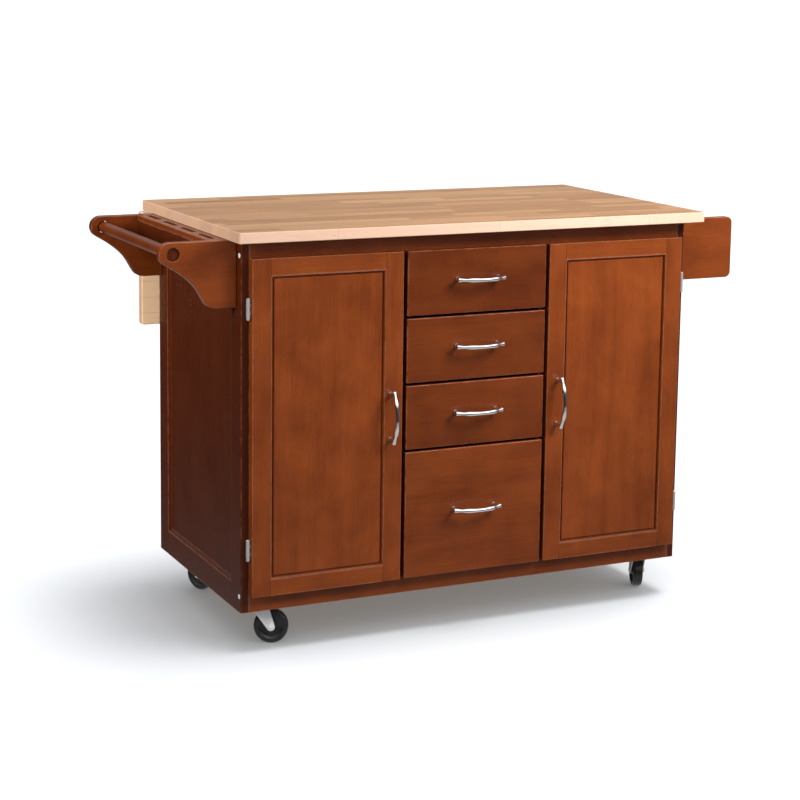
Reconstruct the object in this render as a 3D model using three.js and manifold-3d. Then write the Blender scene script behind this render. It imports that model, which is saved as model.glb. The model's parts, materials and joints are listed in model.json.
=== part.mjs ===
// Rolling kitchen island: cherry-stained cabinet with a butcher block top, a drop leaf behind it,
// two doors, four drawers, a towel rack with knife slots, a spice rack and four swivel casters.
// Millimetres, +Z up. The front with the doors faces -Y. The parts are laid out from the cabinet's
// lower left front corner, and the last lines move the origin under the middle of the whole.
import * as THREE from 'three';
import { mergeVertices } from 'three/addons/utils/BufferGeometryUtils.js';
import Module from 'manifold-3d';

const wasm = await Module();
wasm.setup();

// ---- Driving dimensions ----
const gap = 0.3;                 // clearance between touching pieces

const cabinetWidth = 1102;
const cabinetDepth = 541;
const cabinetHeight = 810;
const boardThickness = 19;
const dividerThickness = 16;
const backThickness = 9;
const backInset = 3;

const blockThickness = 24;
const blockSide = 22;            // overhang of the block past the cabinet's sides
const blockFront = 51;
const blockRear = 60;
const blockCorner = 6;

const sideStile = 57;            // width of the frame round each side's sunk panel
const sideSunk = 6;
const sideBevel = 7;

const topRailHeight = 45;
const baseRailHeight = 46;
const floorUnderside = 14;
const floorThickness = 16;
const shelfHeight = 400;
const shelfThickness = 16;
const shelfFront = 40;

const frontThickness = 20;       // doors and drawer fronts
const frontAir = 0.5;            // air between the fronts and the cabinet's face
const frontBottom = 38;
const frontTop = 773;
const doorInset = 18.5;          // cabinet's side to the door's edge
const doorWidth = 351;
const frontGap = 9.5;
const drawerSpacing = 6;
const doorStile = 46;
const doorRail = 41;
const doorPanelSunk = 3.5;
const doorPanelThickness = 9;

const drawerBoxWidth = 311;
const drawerBoxDepth = 450;
const drawerWall = 12;
const drawerBoxLift = 16;        // box's underside above its front's lower edge

const handleSpacing = 96;        // between the two posts
const handleLength = 120;
const handleReach = 40;          // front of the bar to the wood
const handleTip = 17;            // bar's tips to the wood
const postRadius = 4;
const handleRadius = 4.2;
const handleRaise = 5;           // drawer handles sit a little above the middle
const doorHandleInset = 28;      // door handle's line to the door's free edge
const doorHandleHeight = 410;

const hingePinX = 12;            // hinge pins to the cabinet's side
const hingePinY = -12;
const hingeBarrelRadius = 4;
const hingeBarrelLength = 48;
const hingeHeights = { lower: 142, upper: 666 };

const rackThickness = 19;
const rackFrontY = 24;           // front faces of the two pairs of rack ends
const rackRearY = 515;
const rackDrop = 145;            // height of the rack ends where they meet the cabinet
const noseRadius = 24.7;
const noseX = -147;
const barRadius = 12.8;
const barHole = 14;
const knifeWidth = 60;
const knifeThickness = 12;
const knifeGuardHeight = 70;
const guardThickness = 10;
const slotLength = 84;
const slotWidth = 11;
const slotInset = 20;            // slots' middle line to the strip's outer edge
const slotCount = 4;
const spiceReach = 150;
const spiceCorner = 14;
const spiceBoard = 12;
const spiceRailHeight = 48;

const leafWidth = 272;
const leafPinY = cabinetDepth + blockRear + 1;
const leafPinDrop = 5;           // pin below the block's underside
const leafKnuckle = 4;
const leafHingeWidth = 60;
const leafHingePlate = 2;
const leafHingeInset = 250;      // hinge's middle to the cabinet's side
const stayInset = 150;           // folding stays to the cabinet's sides
const stayDrop = 150;            // stay pins below the leaf's pin
const stayBack = 13;             // stay pins in front of the leaf's pin
const stayWidth = 16;
const stayThickness = 3;

const floorDrop = 88;            // cabinet's underside above the floor
const wheelRadius = 38;
const wheelWidth = 22;
const casterTrail = 28;
const casterInsetX = 62;
const casterInsetY = 55;
const axleRadius = 4;
const forkInner = 13;            // fork leg's inner face to the wheel's middle
const forkPlate = 2.5;

// ---- Finishes ----
const finishes = {
  cherry: { color: 0x7a3418, roughness: 0.35, metalness: 0 },
  block: { color: 0xd9a878, roughness: 0.5, metalness: 0 },
  inside: { color: 0xc9a57c, roughness: 0.6, metalness: 0 },
  chrome: { color: 0xd8d8da, roughness: 0.12, metalness: 1 },
  steel: { color: 0xb4b6b8, roughness: 0.3, metalness: 1 },
  rubber: { color: 0x18181a, roughness: 0.5, metalness: 0 },
};

const cart = new THREE.Group();

function addMesh(name, geometry, finish, place = [0, 0, 0], parent = cart) {
  const mesh = new THREE.Mesh(geometry, new THREE.MeshStandardMaterial(finishes[finish]));
  mesh.name = name;
  mesh.position.set(...place);
  parent.add(mesh);
  return mesh;
}

// ---- Solid helpers ----
function toSolid(geometry) {
  const bare = geometry.clone();
  bare.deleteAttribute('normal');
  bare.deleteAttribute('uv');
  const merged = mergeVertices(bare, 1e-4);
  const vertProperties = new Float32Array(merged.attributes.position.array);
  const triVerts = new Uint32Array(merged.index.array);
  return new wasm.Manifold(new wasm.Mesh({ numProp: 3, vertProperties, triVerts }));
}

function toGeometry(solid) {
  const mesh = solid.getMesh();
  const geometry = new THREE.BufferGeometry();
  geometry.setAttribute('position', new THREE.BufferAttribute(new Float32Array(mesh.vertProperties), 3));
  geometry.setIndex(new THREE.BufferAttribute(new Uint32Array(mesh.triVerts), 1));
  geometry.computeVertexNormals();
  return geometry;
}

function joined(pieces) {
  return toGeometry(pieces.slice(1).reduce((sum, piece) => sum.add(toSolid(piece)), toSolid(pieces[0])));
}

function cut(base, tools) {
  return toGeometry(tools.reduce((rest, tool) => rest.subtract(toSolid(tool)), toSolid(base)));
}

// Box given by its low and high corners.
function box(low, high) {
  const size = high.map((value, i) => value - low[i]);
  const geometry = new THREE.BoxGeometry(...size);
  return geometry.translate(low[0] + size[0] / 2, low[1] + size[1] / 2, low[2] + size[2] / 2);
}

// Cylinder between two values along one axis.
function rod(axis, radius, from, to, centre, sides = 24) {
  const geometry = new THREE.CylinderGeometry(radius, radius, to - from, sides);
  const middle = (from + to) / 2;
  if (axis === 'x') {
    geometry.rotateZ(Math.PI / 2);
    return geometry.translate(middle, centre[0], centre[1]);
  }
  if (axis === 'y') return geometry.translate(centre[0], middle, centre[1]);
  geometry.rotateX(Math.PI / 2);
  return geometry.translate(centre[0], centre[1], middle);
}

function boardOptions(thickness) {
  return { depth: thickness, bevelEnabled: false, curveSegments: 8 };
}

// Outline in X and Z, made into a board that runs from y to y + thickness.
function boardXZ(shape, y, thickness) {
  const geometry = new THREE.ExtrudeGeometry(shape, boardOptions(thickness));
  geometry.rotateX(Math.PI / 2);
  return geometry.translate(0, y + thickness, 0);
}

// Outline in Y and Z, made into a board that runs from x to x + thickness.
function boardYZ(shape, x, thickness) {
  const geometry = new THREE.ExtrudeGeometry(shape, boardOptions(thickness));
  geometry.rotateX(Math.PI / 2);
  geometry.rotateZ(Math.PI / 2);
  return geometry.translate(x, 0, 0);
}

function polygon(points) {
  return new THREE.Shape(points.map(([a, b]) => new THREE.Vector2(a, b)));
}

// ---- Cabinet ----
const insideLeft = boardThickness + gap;
const insideRight = cabinetWidth - boardThickness - gap;
const backFace = cabinetDepth - backInset - backThickness;
const insideBack = backFace - gap;
const topOfBoards = cabinetHeight - gap;
const floorTop = floorUnderside + floorThickness;
const topRailUnderside = cabinetHeight - topRailHeight;
const dividerCentre = doorInset + doorWidth + frontGap / 2;
const dividerXs = {
  left: dividerCentre - dividerThickness / 2,
  right: cabinetWidth - dividerCentre - dividerThickness / 2,
};

// Side with a sunk panel on its outer face, whose edges slope like a bevelled moulding.
function sidePanel(side) {
  const outer = side === 'left' ? 0 : cabinetWidth;
  const inward = side === 'left' ? 1 : -1;
  const board = box([Math.min(outer, outer + inward * boardThickness), 0, 0],
    [Math.max(outer, outer + inward * boardThickness), cabinetDepth, topOfBoards]);
  const depth = cabinetDepth - 2 * sideStile;
  const height = cabinetHeight - 2 * sideStile;
  const sunk = new THREE.CylinderGeometry(Math.SQRT1_2, Math.SQRT1_2, 1, 4, 1);
  sunk.rotateY(Math.PI / 4);
  const position = sunk.attributes.position;
  for (let i = 0; i < position.count; i += 1) {
    const way = position.getY(i) > 0 ? 1 : -1;
    const x = outer - inward * way * sideSunk;
    const y = cabinetDepth / 2 + Math.sign(position.getX(i)) * (depth / 2 + way * sideBevel);
    const z = cabinetHeight / 2 + inward * Math.sign(position.getZ(i)) * (height / 2 + way * sideBevel);
    position.setXYZ(i, x, y, z);
  }
  addMesh(`side_panel_${side}`, cut(board, [sunk]), 'cherry');
}
sidePanel('left');
sidePanel('right');

addMesh('back_panel',
  box([insideLeft, backFace, 0], [insideRight, backFace + backThickness, topOfBoards]), 'cherry');
addMesh('bottom_panel',
  box([insideLeft, boardThickness + gap, floorUnderside], [insideRight, insideBack, floorTop]), 'inside');
addMesh('top_rail',
  box([insideLeft, 0, topRailUnderside], [insideRight, boardThickness, topOfBoards]), 'cherry');
addMesh('base_rail', box([insideLeft, 0, 0], [insideRight, boardThickness, baseRailHeight]), 'cherry');

// Dividers are notched round the two front rails.
for (const [side, x] of Object.entries(dividerXs)) {
  const behindRail = boardThickness + gap;
  const outline = polygon([
    [0, baseRailHeight + gap], [behindRail, baseRailHeight + gap], [behindRail, floorTop + gap],
    [insideBack, floorTop + gap], [insideBack, topOfBoards], [behindRail, topOfBoards],
    [behindRail, topRailUnderside - gap], [0, topRailUnderside - gap],
  ]);
  addMesh(`divider_${side}`, boardYZ(outline, x, dividerThickness), 'cherry');
}

const shelfSpans = {
  left: [insideLeft, dividerXs.left - gap],
  right: [dividerXs.right + dividerThickness + gap, insideRight],
};
for (const [side, [from, to]] of Object.entries(shelfSpans)) {
  addMesh(`shelf_${side}`,
    box([from, shelfFront, shelfHeight], [to, insideBack, shelfHeight + shelfThickness]), 'inside');
}

// ---- Butcher block top ----
function roundedRect(x0, y0, x1, y1, radius) {
  const shape = new THREE.Shape();
  shape.moveTo(x0 + radius, y0);
  shape.lineTo(x1 - radius, y0);
  shape.absarc(x1 - radius, y0 + radius, radius, -Math.PI / 2, 0, false);
  shape.lineTo(x1, y1 - radius);
  shape.absarc(x1 - radius, y1 - radius, radius, 0, Math.PI / 2, false);
  shape.lineTo(x0 + radius, y1);
  shape.absarc(x0 + radius, y1 - radius, radius, Math.PI / 2, Math.PI, false);
  shape.lineTo(x0, y0 + radius);
  shape.absarc(x0 + radius, y0 + radius, radius, Math.PI, Math.PI * 1.5, false);
  return shape;
}
const blockOutline = roundedRect(-blockSide, -blockFront, cabinetWidth + blockSide,
  cabinetDepth + blockRear, blockCorner);
addMesh('butcher_block_top', new THREE.ExtrudeGeometry(blockOutline,
  { depth: blockThickness, bevelEnabled: false, curveSegments: 4 }), 'block', [0, 0, cabinetHeight]);

// ---- Bow handles ----
// Bowed bar along Z whose tips run past the two posts that hold it.
function bowHandle() {
  const half = handleSpacing / 2;
  const tip = handleLength / 2 - 1;
  const path = new THREE.QuadraticBezierCurve3(
    new THREE.Vector3(0, -handleTip, -tip),
    new THREE.Vector3(0, -2 * (handleReach - handleRadius) + handleTip, 0),
    new THREE.Vector3(0, -handleTip, tip),
  );
  const section = new THREE.Shape();
  section.absarc(0, 0, handleRadius, 0, Math.PI * 2, false);
  const bar = new THREE.ExtrudeGeometry(section, { steps: 14, extrudePath: path, curveSegments: 5 });
  const posts = [-half, half].map((z) => rod('y', postRadius, -handleTip - 3, 0, [0, z], 12));
  return joined([bar, ...posts]);
}
const frontFace = -frontAir - frontThickness;
const handleBase = frontFace - gap;
const handleGeometry = bowHandle();

// ---- Doors ----
const frontHeight = frontTop - frontBottom;
for (const side of ['left', 'right']) {
  const x0 = side === 'left' ? doorInset : cabinetWidth - doorInset - doorWidth;
  const x1 = x0 + doorWidth;
  const outer = box([x0, frontFace, frontBottom], [x1, -frontAir, frontTop]);
  const opening = box([x0 + doorStile, frontFace - 1, frontBottom + doorRail],
    [x1 - doorStile, 1, frontTop - doorRail]);
  addMesh(`door_frame_${side}`, cut(outer, [opening]), 'cherry');
  const panelFace = frontFace + doorPanelSunk;
  addMesh(`door_panel_${side}`, box(
    [x0 + doorStile + gap, panelFace, frontBottom + doorRail + gap],
    [x1 - doorStile - gap, panelFace + doorPanelThickness, frontTop - doorRail - gap]), 'cherry');
  const handleX = side === 'left' ? x1 - doorHandleInset : x0 + doorHandleInset;
  addMesh(`door_handle_${side}`, handleGeometry.clone(), 'chrome', [handleX, handleBase, doorHandleHeight]);
}

// ---- Door hinges ----
// Barrel beside the door's edge, with a neck that is screwed to the cabinet's front edge.
for (const side of ['left', 'right']) {
  const pinX = side === 'left' ? hingePinX : cabinetWidth - hingePinX;
  for (const [level, z] of Object.entries(hingeHeights)) {
    const half = hingeBarrelLength / 2;
    const barrel = rod('z', hingeBarrelRadius, z - half, z + half, [pinX, hingePinY], 20);
    const neck = box([pinX - 1.2, hingePinY, z - half + 6], [pinX + 1.2, -gap, z + half - 6]);
    addMesh(`door_hinge_${side}_${level}`, joined([barrel, neck]), 'steel');
  }
}

// ---- Drawers ----
const drawerX0 = doorInset + doorWidth + frontGap;
const drawerX1 = cabinetWidth - drawerX0;
const drawerCount = 4;
const unitHeight = (frontHeight - (drawerCount - 1) * drawerSpacing) / (drawerCount + 1);
let drawerTop = frontTop;
for (let i = 1; i <= drawerCount; i += 1) {
  const height = i === drawerCount ? 2 * unitHeight : unitHeight;
  const low = drawerTop - height;
  addMesh(`drawer_front_${i}`, box([drawerX0, frontFace, low], [drawerX1, -frontAir, drawerTop]), 'cherry');
  const boxX0 = (cabinetWidth - drawerBoxWidth) / 2;
  const boxX1 = boxX0 + drawerBoxWidth;
  const boxLow = low + drawerBoxLift;
  const boxHigh = drawerTop - 2 * drawerBoxLift;
  const body = box([boxX0, -frontAir + gap, boxLow], [boxX1, drawerBoxDepth, boxHigh]);
  const hollow = box([boxX0 + drawerWall, drawerWall, boxLow + drawerWall / 2],
    [boxX1 - drawerWall, drawerBoxDepth - drawerWall, boxHigh + 1]);
  addMesh(`drawer_box_${i}`, cut(body, [hollow]), 'inside');
  const handle = addMesh(`drawer_handle_${i}`, handleGeometry.clone(), 'chrome',
    [cabinetWidth / 2, handleBase, low + height / 2 + handleRaise]);
  handle.rotation.y = Math.PI / 2;
  drawerTop = low - drawerSpacing;
}

// ---- Towel rack and knife slots on the left ----
// Scroll end: level top, round nose, a slope that turns steep and a rounded toe.
function scrollEnd() {
  const leave = (240 * Math.PI) / 180;
  const noseZ = topOfBoards - noseRadius;
  const bottom = cabinetHeight - rackDrop;
  const slope = new THREE.Vector2(-Math.sin(leave), Math.cos(leave));
  const start = new THREE.Vector2(noseX + noseRadius * Math.cos(leave), noseZ + noseRadius * Math.sin(leave));
  const shape = new THREE.Shape();
  shape.moveTo(-gap, bottom);
  shape.lineTo(-gap, topOfBoards);
  shape.lineTo(noseX, topOfBoards);
  shape.absarc(noseX, noseZ, noseRadius, Math.PI / 2, leave, false);
  shape.bezierCurveTo(start.x + slope.x * 50, start.y + slope.y * 50, -97, 722, -84, 700);
  shape.lineTo(-73, 681);
  shape.quadraticCurveTo(-64, bottom, -46, bottom);
  const hole = new THREE.Path();
  hole.absarc(noseX + 7, noseZ - 1, barHole, 0, Math.PI * 2, true);
  shape.holes.push(hole);
  return shape;
}
const barCentre = [noseX + 7, topOfBoards - noseRadius - 1];
for (const [end, y] of [['front', rackFrontY], ['rear', rackRearY]]) {
  addMesh(`towel_bracket_${end}`, boardXZ(scrollEnd(), y, rackThickness), 'cherry');
}
addMesh('towel_bar',
  rod('y', barRadius, rackFrontY + 6, rackRearY + rackThickness - 3, barCentre, 28), 'cherry');

const betweenEnds = [rackFrontY + rackThickness + gap, rackRearY - gap];
const betweenLength = betweenEnds[1] - betweenEnds[0];
const slotPitch = betweenLength / slotCount;
const slotX = -knifeWidth + slotInset;
const stripBase = box([-knifeWidth, betweenEnds[0], topOfBoards - knifeThickness],
  [-gap, betweenEnds[1], topOfBoards]);
const slots = [];
for (let i = 0; i < slotCount; i += 1) {
  const middle = betweenEnds[0] + slotPitch * (i + 0.5);
  const outline = roundedRect(slotX - slotWidth / 2, middle - slotLength / 2,
    slotX + slotWidth / 2, middle + slotLength / 2, slotWidth / 2 - 0.01);
  const slot = new THREE.ExtrudeGeometry(outline,
    { depth: knifeThickness + 2, bevelEnabled: false, curveSegments: 3 });
  slots.push(slot.translate(0, 0, topOfBoards - knifeThickness - 1));
}
addMesh('knife_strip', cut(stripBase, slots), 'cherry');
addMesh('knife_guard', box([-knifeWidth, betweenEnds[0], topOfBoards - knifeGuardHeight],
  [-knifeWidth + guardThickness, betweenEnds[1], topOfBoards - knifeThickness - gap]), 'cherry');

// ---- Spice rack on the right ----
// End board with its two outer corners rounded.
function spiceEnd() {
  const inner = cabinetWidth + gap;
  const outer = cabinetWidth + spiceReach;
  const bottom = cabinetHeight - rackDrop;
  const shape = new THREE.Shape();
  shape.moveTo(inner, bottom);
  shape.lineTo(outer - spiceCorner, bottom);
  shape.absarc(outer - spiceCorner, bottom + spiceCorner, spiceCorner, -Math.PI / 2, 0, false);
  shape.lineTo(outer, topOfBoards - spiceCorner);
  shape.absarc(outer - spiceCorner, topOfBoards - spiceCorner, spiceCorner, 0, Math.PI / 2, false);
  shape.lineTo(inner, topOfBoards);
  return shape;
}
for (const [end, y] of [['front', rackFrontY], ['rear', rackRearY]]) {
  addMesh(`spice_end_${end}`, boardXZ(spiceEnd(), y, rackThickness), 'cherry');
}
const spiceBottom = cabinetHeight - rackDrop + spiceBoard;
const spiceRailX = cabinetWidth + spiceReach - 2 * spiceBoard;
addMesh('spice_shelf', box([cabinetWidth + gap, betweenEnds[0], spiceBottom],
  [spiceRailX - gap, betweenEnds[1], spiceBottom + spiceBoard]), 'cherry');
addMesh('spice_rail', box([spiceRailX, betweenEnds[0], spiceBottom],
  [spiceRailX + spiceBoard, betweenEnds[1], spiceBottom + spiceRailHeight]), 'cherry');

// ---- Drop leaf, its hinges and its folding stays ----
const leafPinZ = cabinetHeight - leafPinDrop;
const leafFace = leafPinY + leafPinDrop;
addMesh('drop_leaf', boardXZ(
  roundedRect(-blockSide, leafPinZ - leafWidth, cabinetWidth + blockSide, leafPinZ, blockCorner),
  leafFace, blockThickness), 'block');

const knuckleThird = leafHingeWidth / 6;
const leafHingeXs = { left: leafHingeInset, right: cabinetWidth - leafHingeInset };
for (const [side, x] of Object.entries(leafHingeXs)) {
  const half = leafHingeWidth / 2;
  const underBlock = cabinetHeight - gap;
  const clearY = leafPinY - leafKnuckle - 0.6;
  const fixedKnuckle = rod('x', leafKnuckle, x - knuckleThird, x + knuckleThird, [leafPinY, leafPinZ], 16);
  const fixedPlate = box([x - half, clearY - 42, underBlock - leafHingePlate],
    [x + half, clearY, underBlock]);
  const fixedTongue = box([x - knuckleThird, clearY - 1, underBlock - leafHingePlate],
    [x + knuckleThird, leafPinY, underBlock]);
  const web = box([x - knuckleThird, leafPinY - 2, leafPinZ], [x + knuckleThird, leafPinY, underBlock]);
  addMesh(`leaf_hinge_fixed_${side}`, joined([fixedPlate, fixedTongue, web, fixedKnuckle]), 'steel');

  const onLeaf = leafFace - gap;
  const clearZ = leafPinZ - leafKnuckle - 0.6;
  const pieces = [box([x - half, onLeaf - leafHingePlate, clearZ - 42], [x + half, onLeaf, clearZ])];
  for (const direction of [-1, 1]) {
    const from = x + direction * (knuckleThird + gap);
    const to = x + direction * half;
    const low = Math.min(from, to);
    const high = Math.max(from, to);
    pieces.push(box([low, onLeaf - leafHingePlate, clearZ - 1], [high, onLeaf, leafPinZ]));
    pieces.push(box([low, leafPinY, leafPinZ - 2], [high, onLeaf, leafPinZ]));
    pieces.push(rod('x', leafKnuckle, low, high, [leafPinY, leafPinZ], 16));
  }
  addMesh(`leaf_hinge_moving_${side}`, joined(pieces), 'steel');
}

// Each stay is two equal links that share their pins' line when the leaf hangs,
// and lie end to end under the leaf when it is raised.
const stayRadius = Math.hypot(stayBack, stayDrop);
const stayLink = stayRadius * Math.SQRT1_2;
const stayAngle = Math.atan2(-stayDrop, -stayBack);
function stayShape() {
  const pinY = leafPinY - stayBack;
  const pinZ = leafPinZ - stayDrop;
  const endY = pinY + stayLink * Math.cos(stayAngle);
  const endZ = pinZ + stayLink * Math.sin(stayAngle);
  const shape = new THREE.Shape();
  shape.absarc(endY, endZ, stayWidth / 2, stayAngle - Math.PI / 2, stayAngle + Math.PI / 2, false);
  shape.absarc(pinY, pinZ, stayWidth / 2, stayAngle + Math.PI / 2, stayAngle + Math.PI * 1.5, false);
  return shape;
}
for (const [side, x, inward] of [['left', stayInset, 1], ['right', cabinetWidth - stayInset, -1]]) {
  const second = inward * (stayThickness + 0.5);
  addMesh(`stay_cabinet_link_${side}`, boardYZ(stayShape(), x, stayThickness), 'steel');
  addMesh(`stay_leaf_link_${side}`, boardYZ(stayShape(), x + second, stayThickness), 'steel');
}

// ---- Casters ----
// The fork's own frame has the swivel axis at its origin, and trails towards +X.
const axleZ = wheelRadius - floorDrop;
function casterFork() {
  const legs = [-1, 1].map((way) => {
    const outline = new THREE.Shape();
    outline.moveTo(-20, 3);
    outline.lineTo(casterTrail - 8, axleZ - 3);
    outline.absarc(casterTrail, axleZ, 9, Math.PI * 1.12, Math.PI * 2.1, false);
    outline.lineTo(22, 3);
    const leg = boardXZ(outline, 0, forkPlate);
    return leg.translate(0, way > 0 ? forkInner : -forkInner - forkPlate, 0);
  });
  const crown = box([-20, -forkInner - forkPlate, 0.5], [22, forkInner + forkPlate, 3]);
  const bearing = rod('z', 15, 2, 11, [0, 0], 20);
  const axleEnd = forkInner + forkPlate + 2;
  const axle = rod('y', axleRadius, -axleEnd, axleEnd, [casterTrail, axleZ], 16);
  return joined([crown, ...legs, bearing, axle]);
}
// Tyre with a rounded tread and a sunk web on each side.
function casterWheel() {
  const half = wheelWidth / 2;
  const bore = axleRadius + 0.4;
  const profile = [
    [bore, -half], [10, -half], [12, -half + 4], [26, -half + 4], [28, -half],
    [wheelRadius - 3, -half], [wheelRadius, -half + 5],
    [wheelRadius, half - 5], [wheelRadius - 3, half],
    [28, half], [26, half - 4], [12, half - 4], [10, half], [bore, half], [bore, -half],
  ];
  return new THREE.LatheGeometry(profile.map(([r, y]) => new THREE.Vector2(r, y)), 28);
}
const casterSpots = [
  ['front_left', casterInsetX, casterInsetY, -24.75],
  ['front_right', cabinetWidth - casterInsetX, casterInsetY, 68],
  ['rear_left', casterInsetX, cabinetDepth - casterInsetY, -62],
  ['rear_right', cabinetWidth - casterInsetX, cabinetDepth - casterInsetY, 20],
];
for (const [corner, x, y, degrees] of casterSpots) {
  const swivel = new THREE.Group();
  swivel.position.set(x, y, 0);
  swivel.rotation.z = THREE.MathUtils.degToRad(degrees);
  cart.add(swivel);
  addMesh(`caster_fork_${corner}`, casterFork(), 'steel', [0, 0, 0], swivel);
  addMesh(`caster_wheel_${corner}`, casterWheel(), 'rubber', [casterTrail, 0, axleZ], swivel);
}

// ---- Origin: on the floor, under the middle of the whole ----
const wholeLeft = noseX - noseRadius;
const wholeRight = cabinetWidth + spiceReach;
const wholeFront = frontFace - gap - handleReach;
const wholeRear = leafFace + blockThickness;
cart.position.set(-(wholeLeft + wholeRight) / 2, -(wholeRear + wholeFront) / 2, floorDrop);

const object = new THREE.Group();
object.add(cart);
export default object;
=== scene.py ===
# Rolling kitchen island with a butcher block top: cherry-stained cabinet, two doors, four drawers,
# towel rack and knife slots on the left, spice rack on the right, drop leaf behind, four casters.
import json
import math
import bpy
import bmesh
from mathutils import Matrix, Vector

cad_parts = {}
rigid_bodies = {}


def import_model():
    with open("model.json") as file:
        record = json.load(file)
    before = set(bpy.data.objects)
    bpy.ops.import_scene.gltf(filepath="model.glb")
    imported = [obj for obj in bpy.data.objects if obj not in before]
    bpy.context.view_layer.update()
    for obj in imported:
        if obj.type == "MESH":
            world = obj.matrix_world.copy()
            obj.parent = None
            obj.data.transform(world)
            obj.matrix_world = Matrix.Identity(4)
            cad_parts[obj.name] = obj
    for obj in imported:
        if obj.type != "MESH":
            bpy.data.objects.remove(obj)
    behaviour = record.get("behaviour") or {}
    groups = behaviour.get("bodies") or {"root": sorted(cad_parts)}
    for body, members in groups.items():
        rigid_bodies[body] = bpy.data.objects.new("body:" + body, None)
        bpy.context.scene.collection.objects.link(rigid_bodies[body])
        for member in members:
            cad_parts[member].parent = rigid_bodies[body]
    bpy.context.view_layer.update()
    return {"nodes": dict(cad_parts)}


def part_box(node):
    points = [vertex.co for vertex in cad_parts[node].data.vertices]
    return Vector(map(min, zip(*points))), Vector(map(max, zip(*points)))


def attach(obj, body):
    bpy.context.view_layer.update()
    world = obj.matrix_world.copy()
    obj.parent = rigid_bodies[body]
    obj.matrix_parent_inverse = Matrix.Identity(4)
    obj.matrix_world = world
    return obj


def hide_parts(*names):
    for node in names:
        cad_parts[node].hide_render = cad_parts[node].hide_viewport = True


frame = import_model()
print("frame loaded with", len(frame["nodes"]), "nodes")

# Everything below is laid out in millimetres from the cabinet's lower left front corner.
mm = 0.001
cabinetCorner = Vector(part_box("side_panel_left")[0])
cabinetWidth = (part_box("side_panel_right")[1].x - cabinetCorner.x) / mm
cabinetDepth = (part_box("side_panel_left")[1].y - cabinetCorner.y) / mm


def span(node):
    low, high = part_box(node)
    return (low - cabinetCorner) / mm, (high - cabinetCorner) / mm


def leftSpan(node, mirror):
    # A right-hand node's span as its twin on the left would have it.
    low, high = span(node)
    if mirror:
        low.x, high.x = cabinetWidth - high.x, cabinetWidth - low.x
    return low, high


boardTop = span("side_panel_left")[1].z
gap = 0.3  # air between pieces that meet
print("cabinet", round(cabinetWidth, 1), "wide and", round(cabinetDepth, 1), "deep")


def addNode(tree, kind, inputs=None, **settings):
    node = tree.nodes.new(kind)
    for key, value in settings.items():
        setattr(node, key, value)
    for socket, value in (inputs or {}).items():
        if isinstance(value, bpy.types.NodeSocket):
            tree.links.new(value, node.inputs[socket])
        else:
            node.inputs[socket].default_value = value
    return node


def maths(tree, operation, a, b=0.0, clamp=False):
    node = addNode(tree, "ShaderNodeMath", {0: a, 1: b}, operation=operation, use_clamp=clamp)
    return node.outputs[0]


def product(tree, a, b):
    return maths(tree, "MULTIPLY", a, b)


def weighed(tree, *terms):
    # Sum of the terms, each a value and its weight.
    total = product(tree, *terms[0])
    for value, weight in terms[1:]:
        total = maths(tree, "ADD", total, product(tree, value, weight))
    return total


def vectorMaths(tree, operation, a, b=(0, 0, 0)):
    return addNode(tree, "ShaderNodeVectorMath", {0: a, 1: b}, operation=operation).outputs[0]


def measured(tree, vector, size):
    # The vector counted in features of the given size.
    inputs = {0: vector, "Scale": maths(tree, "DIVIDE", 1.0, size)}
    return addNode(tree, "ShaderNodeVectorMath", inputs, operation="SCALE").outputs[0]


def split(tree, vector):
    return addNode(tree, "ShaderNodeSeparateXYZ", {0: vector}).outputs


def combined(tree, *parts):
    return addNode(tree, "ShaderNodeCombineXYZ", dict(enumerate(parts))).outputs[0]


def noise(tree, vector, scale=1.0, detail=2.0, roughness=0.5, distortion=0.0):
    inputs = {"Vector": vector, "Scale": scale, "Detail": detail,
              "Roughness": roughness, "Distortion": distortion}
    return addNode(tree, "ShaderNodeTexNoise", inputs).outputs["Fac"]


def remap(tree, value, low, high, toLow=0.0, toHigh=1.0):
    inputs = {0: value, 1: low, 2: high, 3: toLow, 4: toHigh}
    return addNode(tree, "ShaderNodeMapRange", inputs).outputs[0]


def mixColour(tree, amount, a, b):
    return addNode(tree, "ShaderNodeMix", {0: amount, 6: a, 7: b}, data_type="RGBA").outputs[2]


def newGroup(name, inputs, outputs):
    # Inputs come with their first values; None stands for a vector.
    group = bpy.data.node_groups.new(name, "ShaderNodeTree")
    for label, value in inputs.items():
        kind = "NodeSocketVector" if value is None else "NodeSocketFloat"
        socket = group.interface.new_socket(label, in_out="INPUT", socket_type=kind)
        if value is not None:
            socket.default_value = value
    for label in outputs:
        kind = "NodeSocketVector" if label.endswith("Vector") else "NodeSocketFloat"
        group.interface.new_socket(label, in_out="OUTPUT", socket_type=kind)
    start = group.nodes.new("NodeGroupInput").outputs
    end = group.nodes.new("NodeGroupOutput").inputs
    return group, start, end


grainForm = {
    "seedJump": (3.1, 1.7, 2.3), "figureStretch": (0.09, 1.0, 1.0), "fibreStretch": (0.03, 1.0, 1.0),
    "poreStretch": (42.0, 900.0, 900.0), "rings": 7.0, "cloudScale": 9.0,
}


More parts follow.
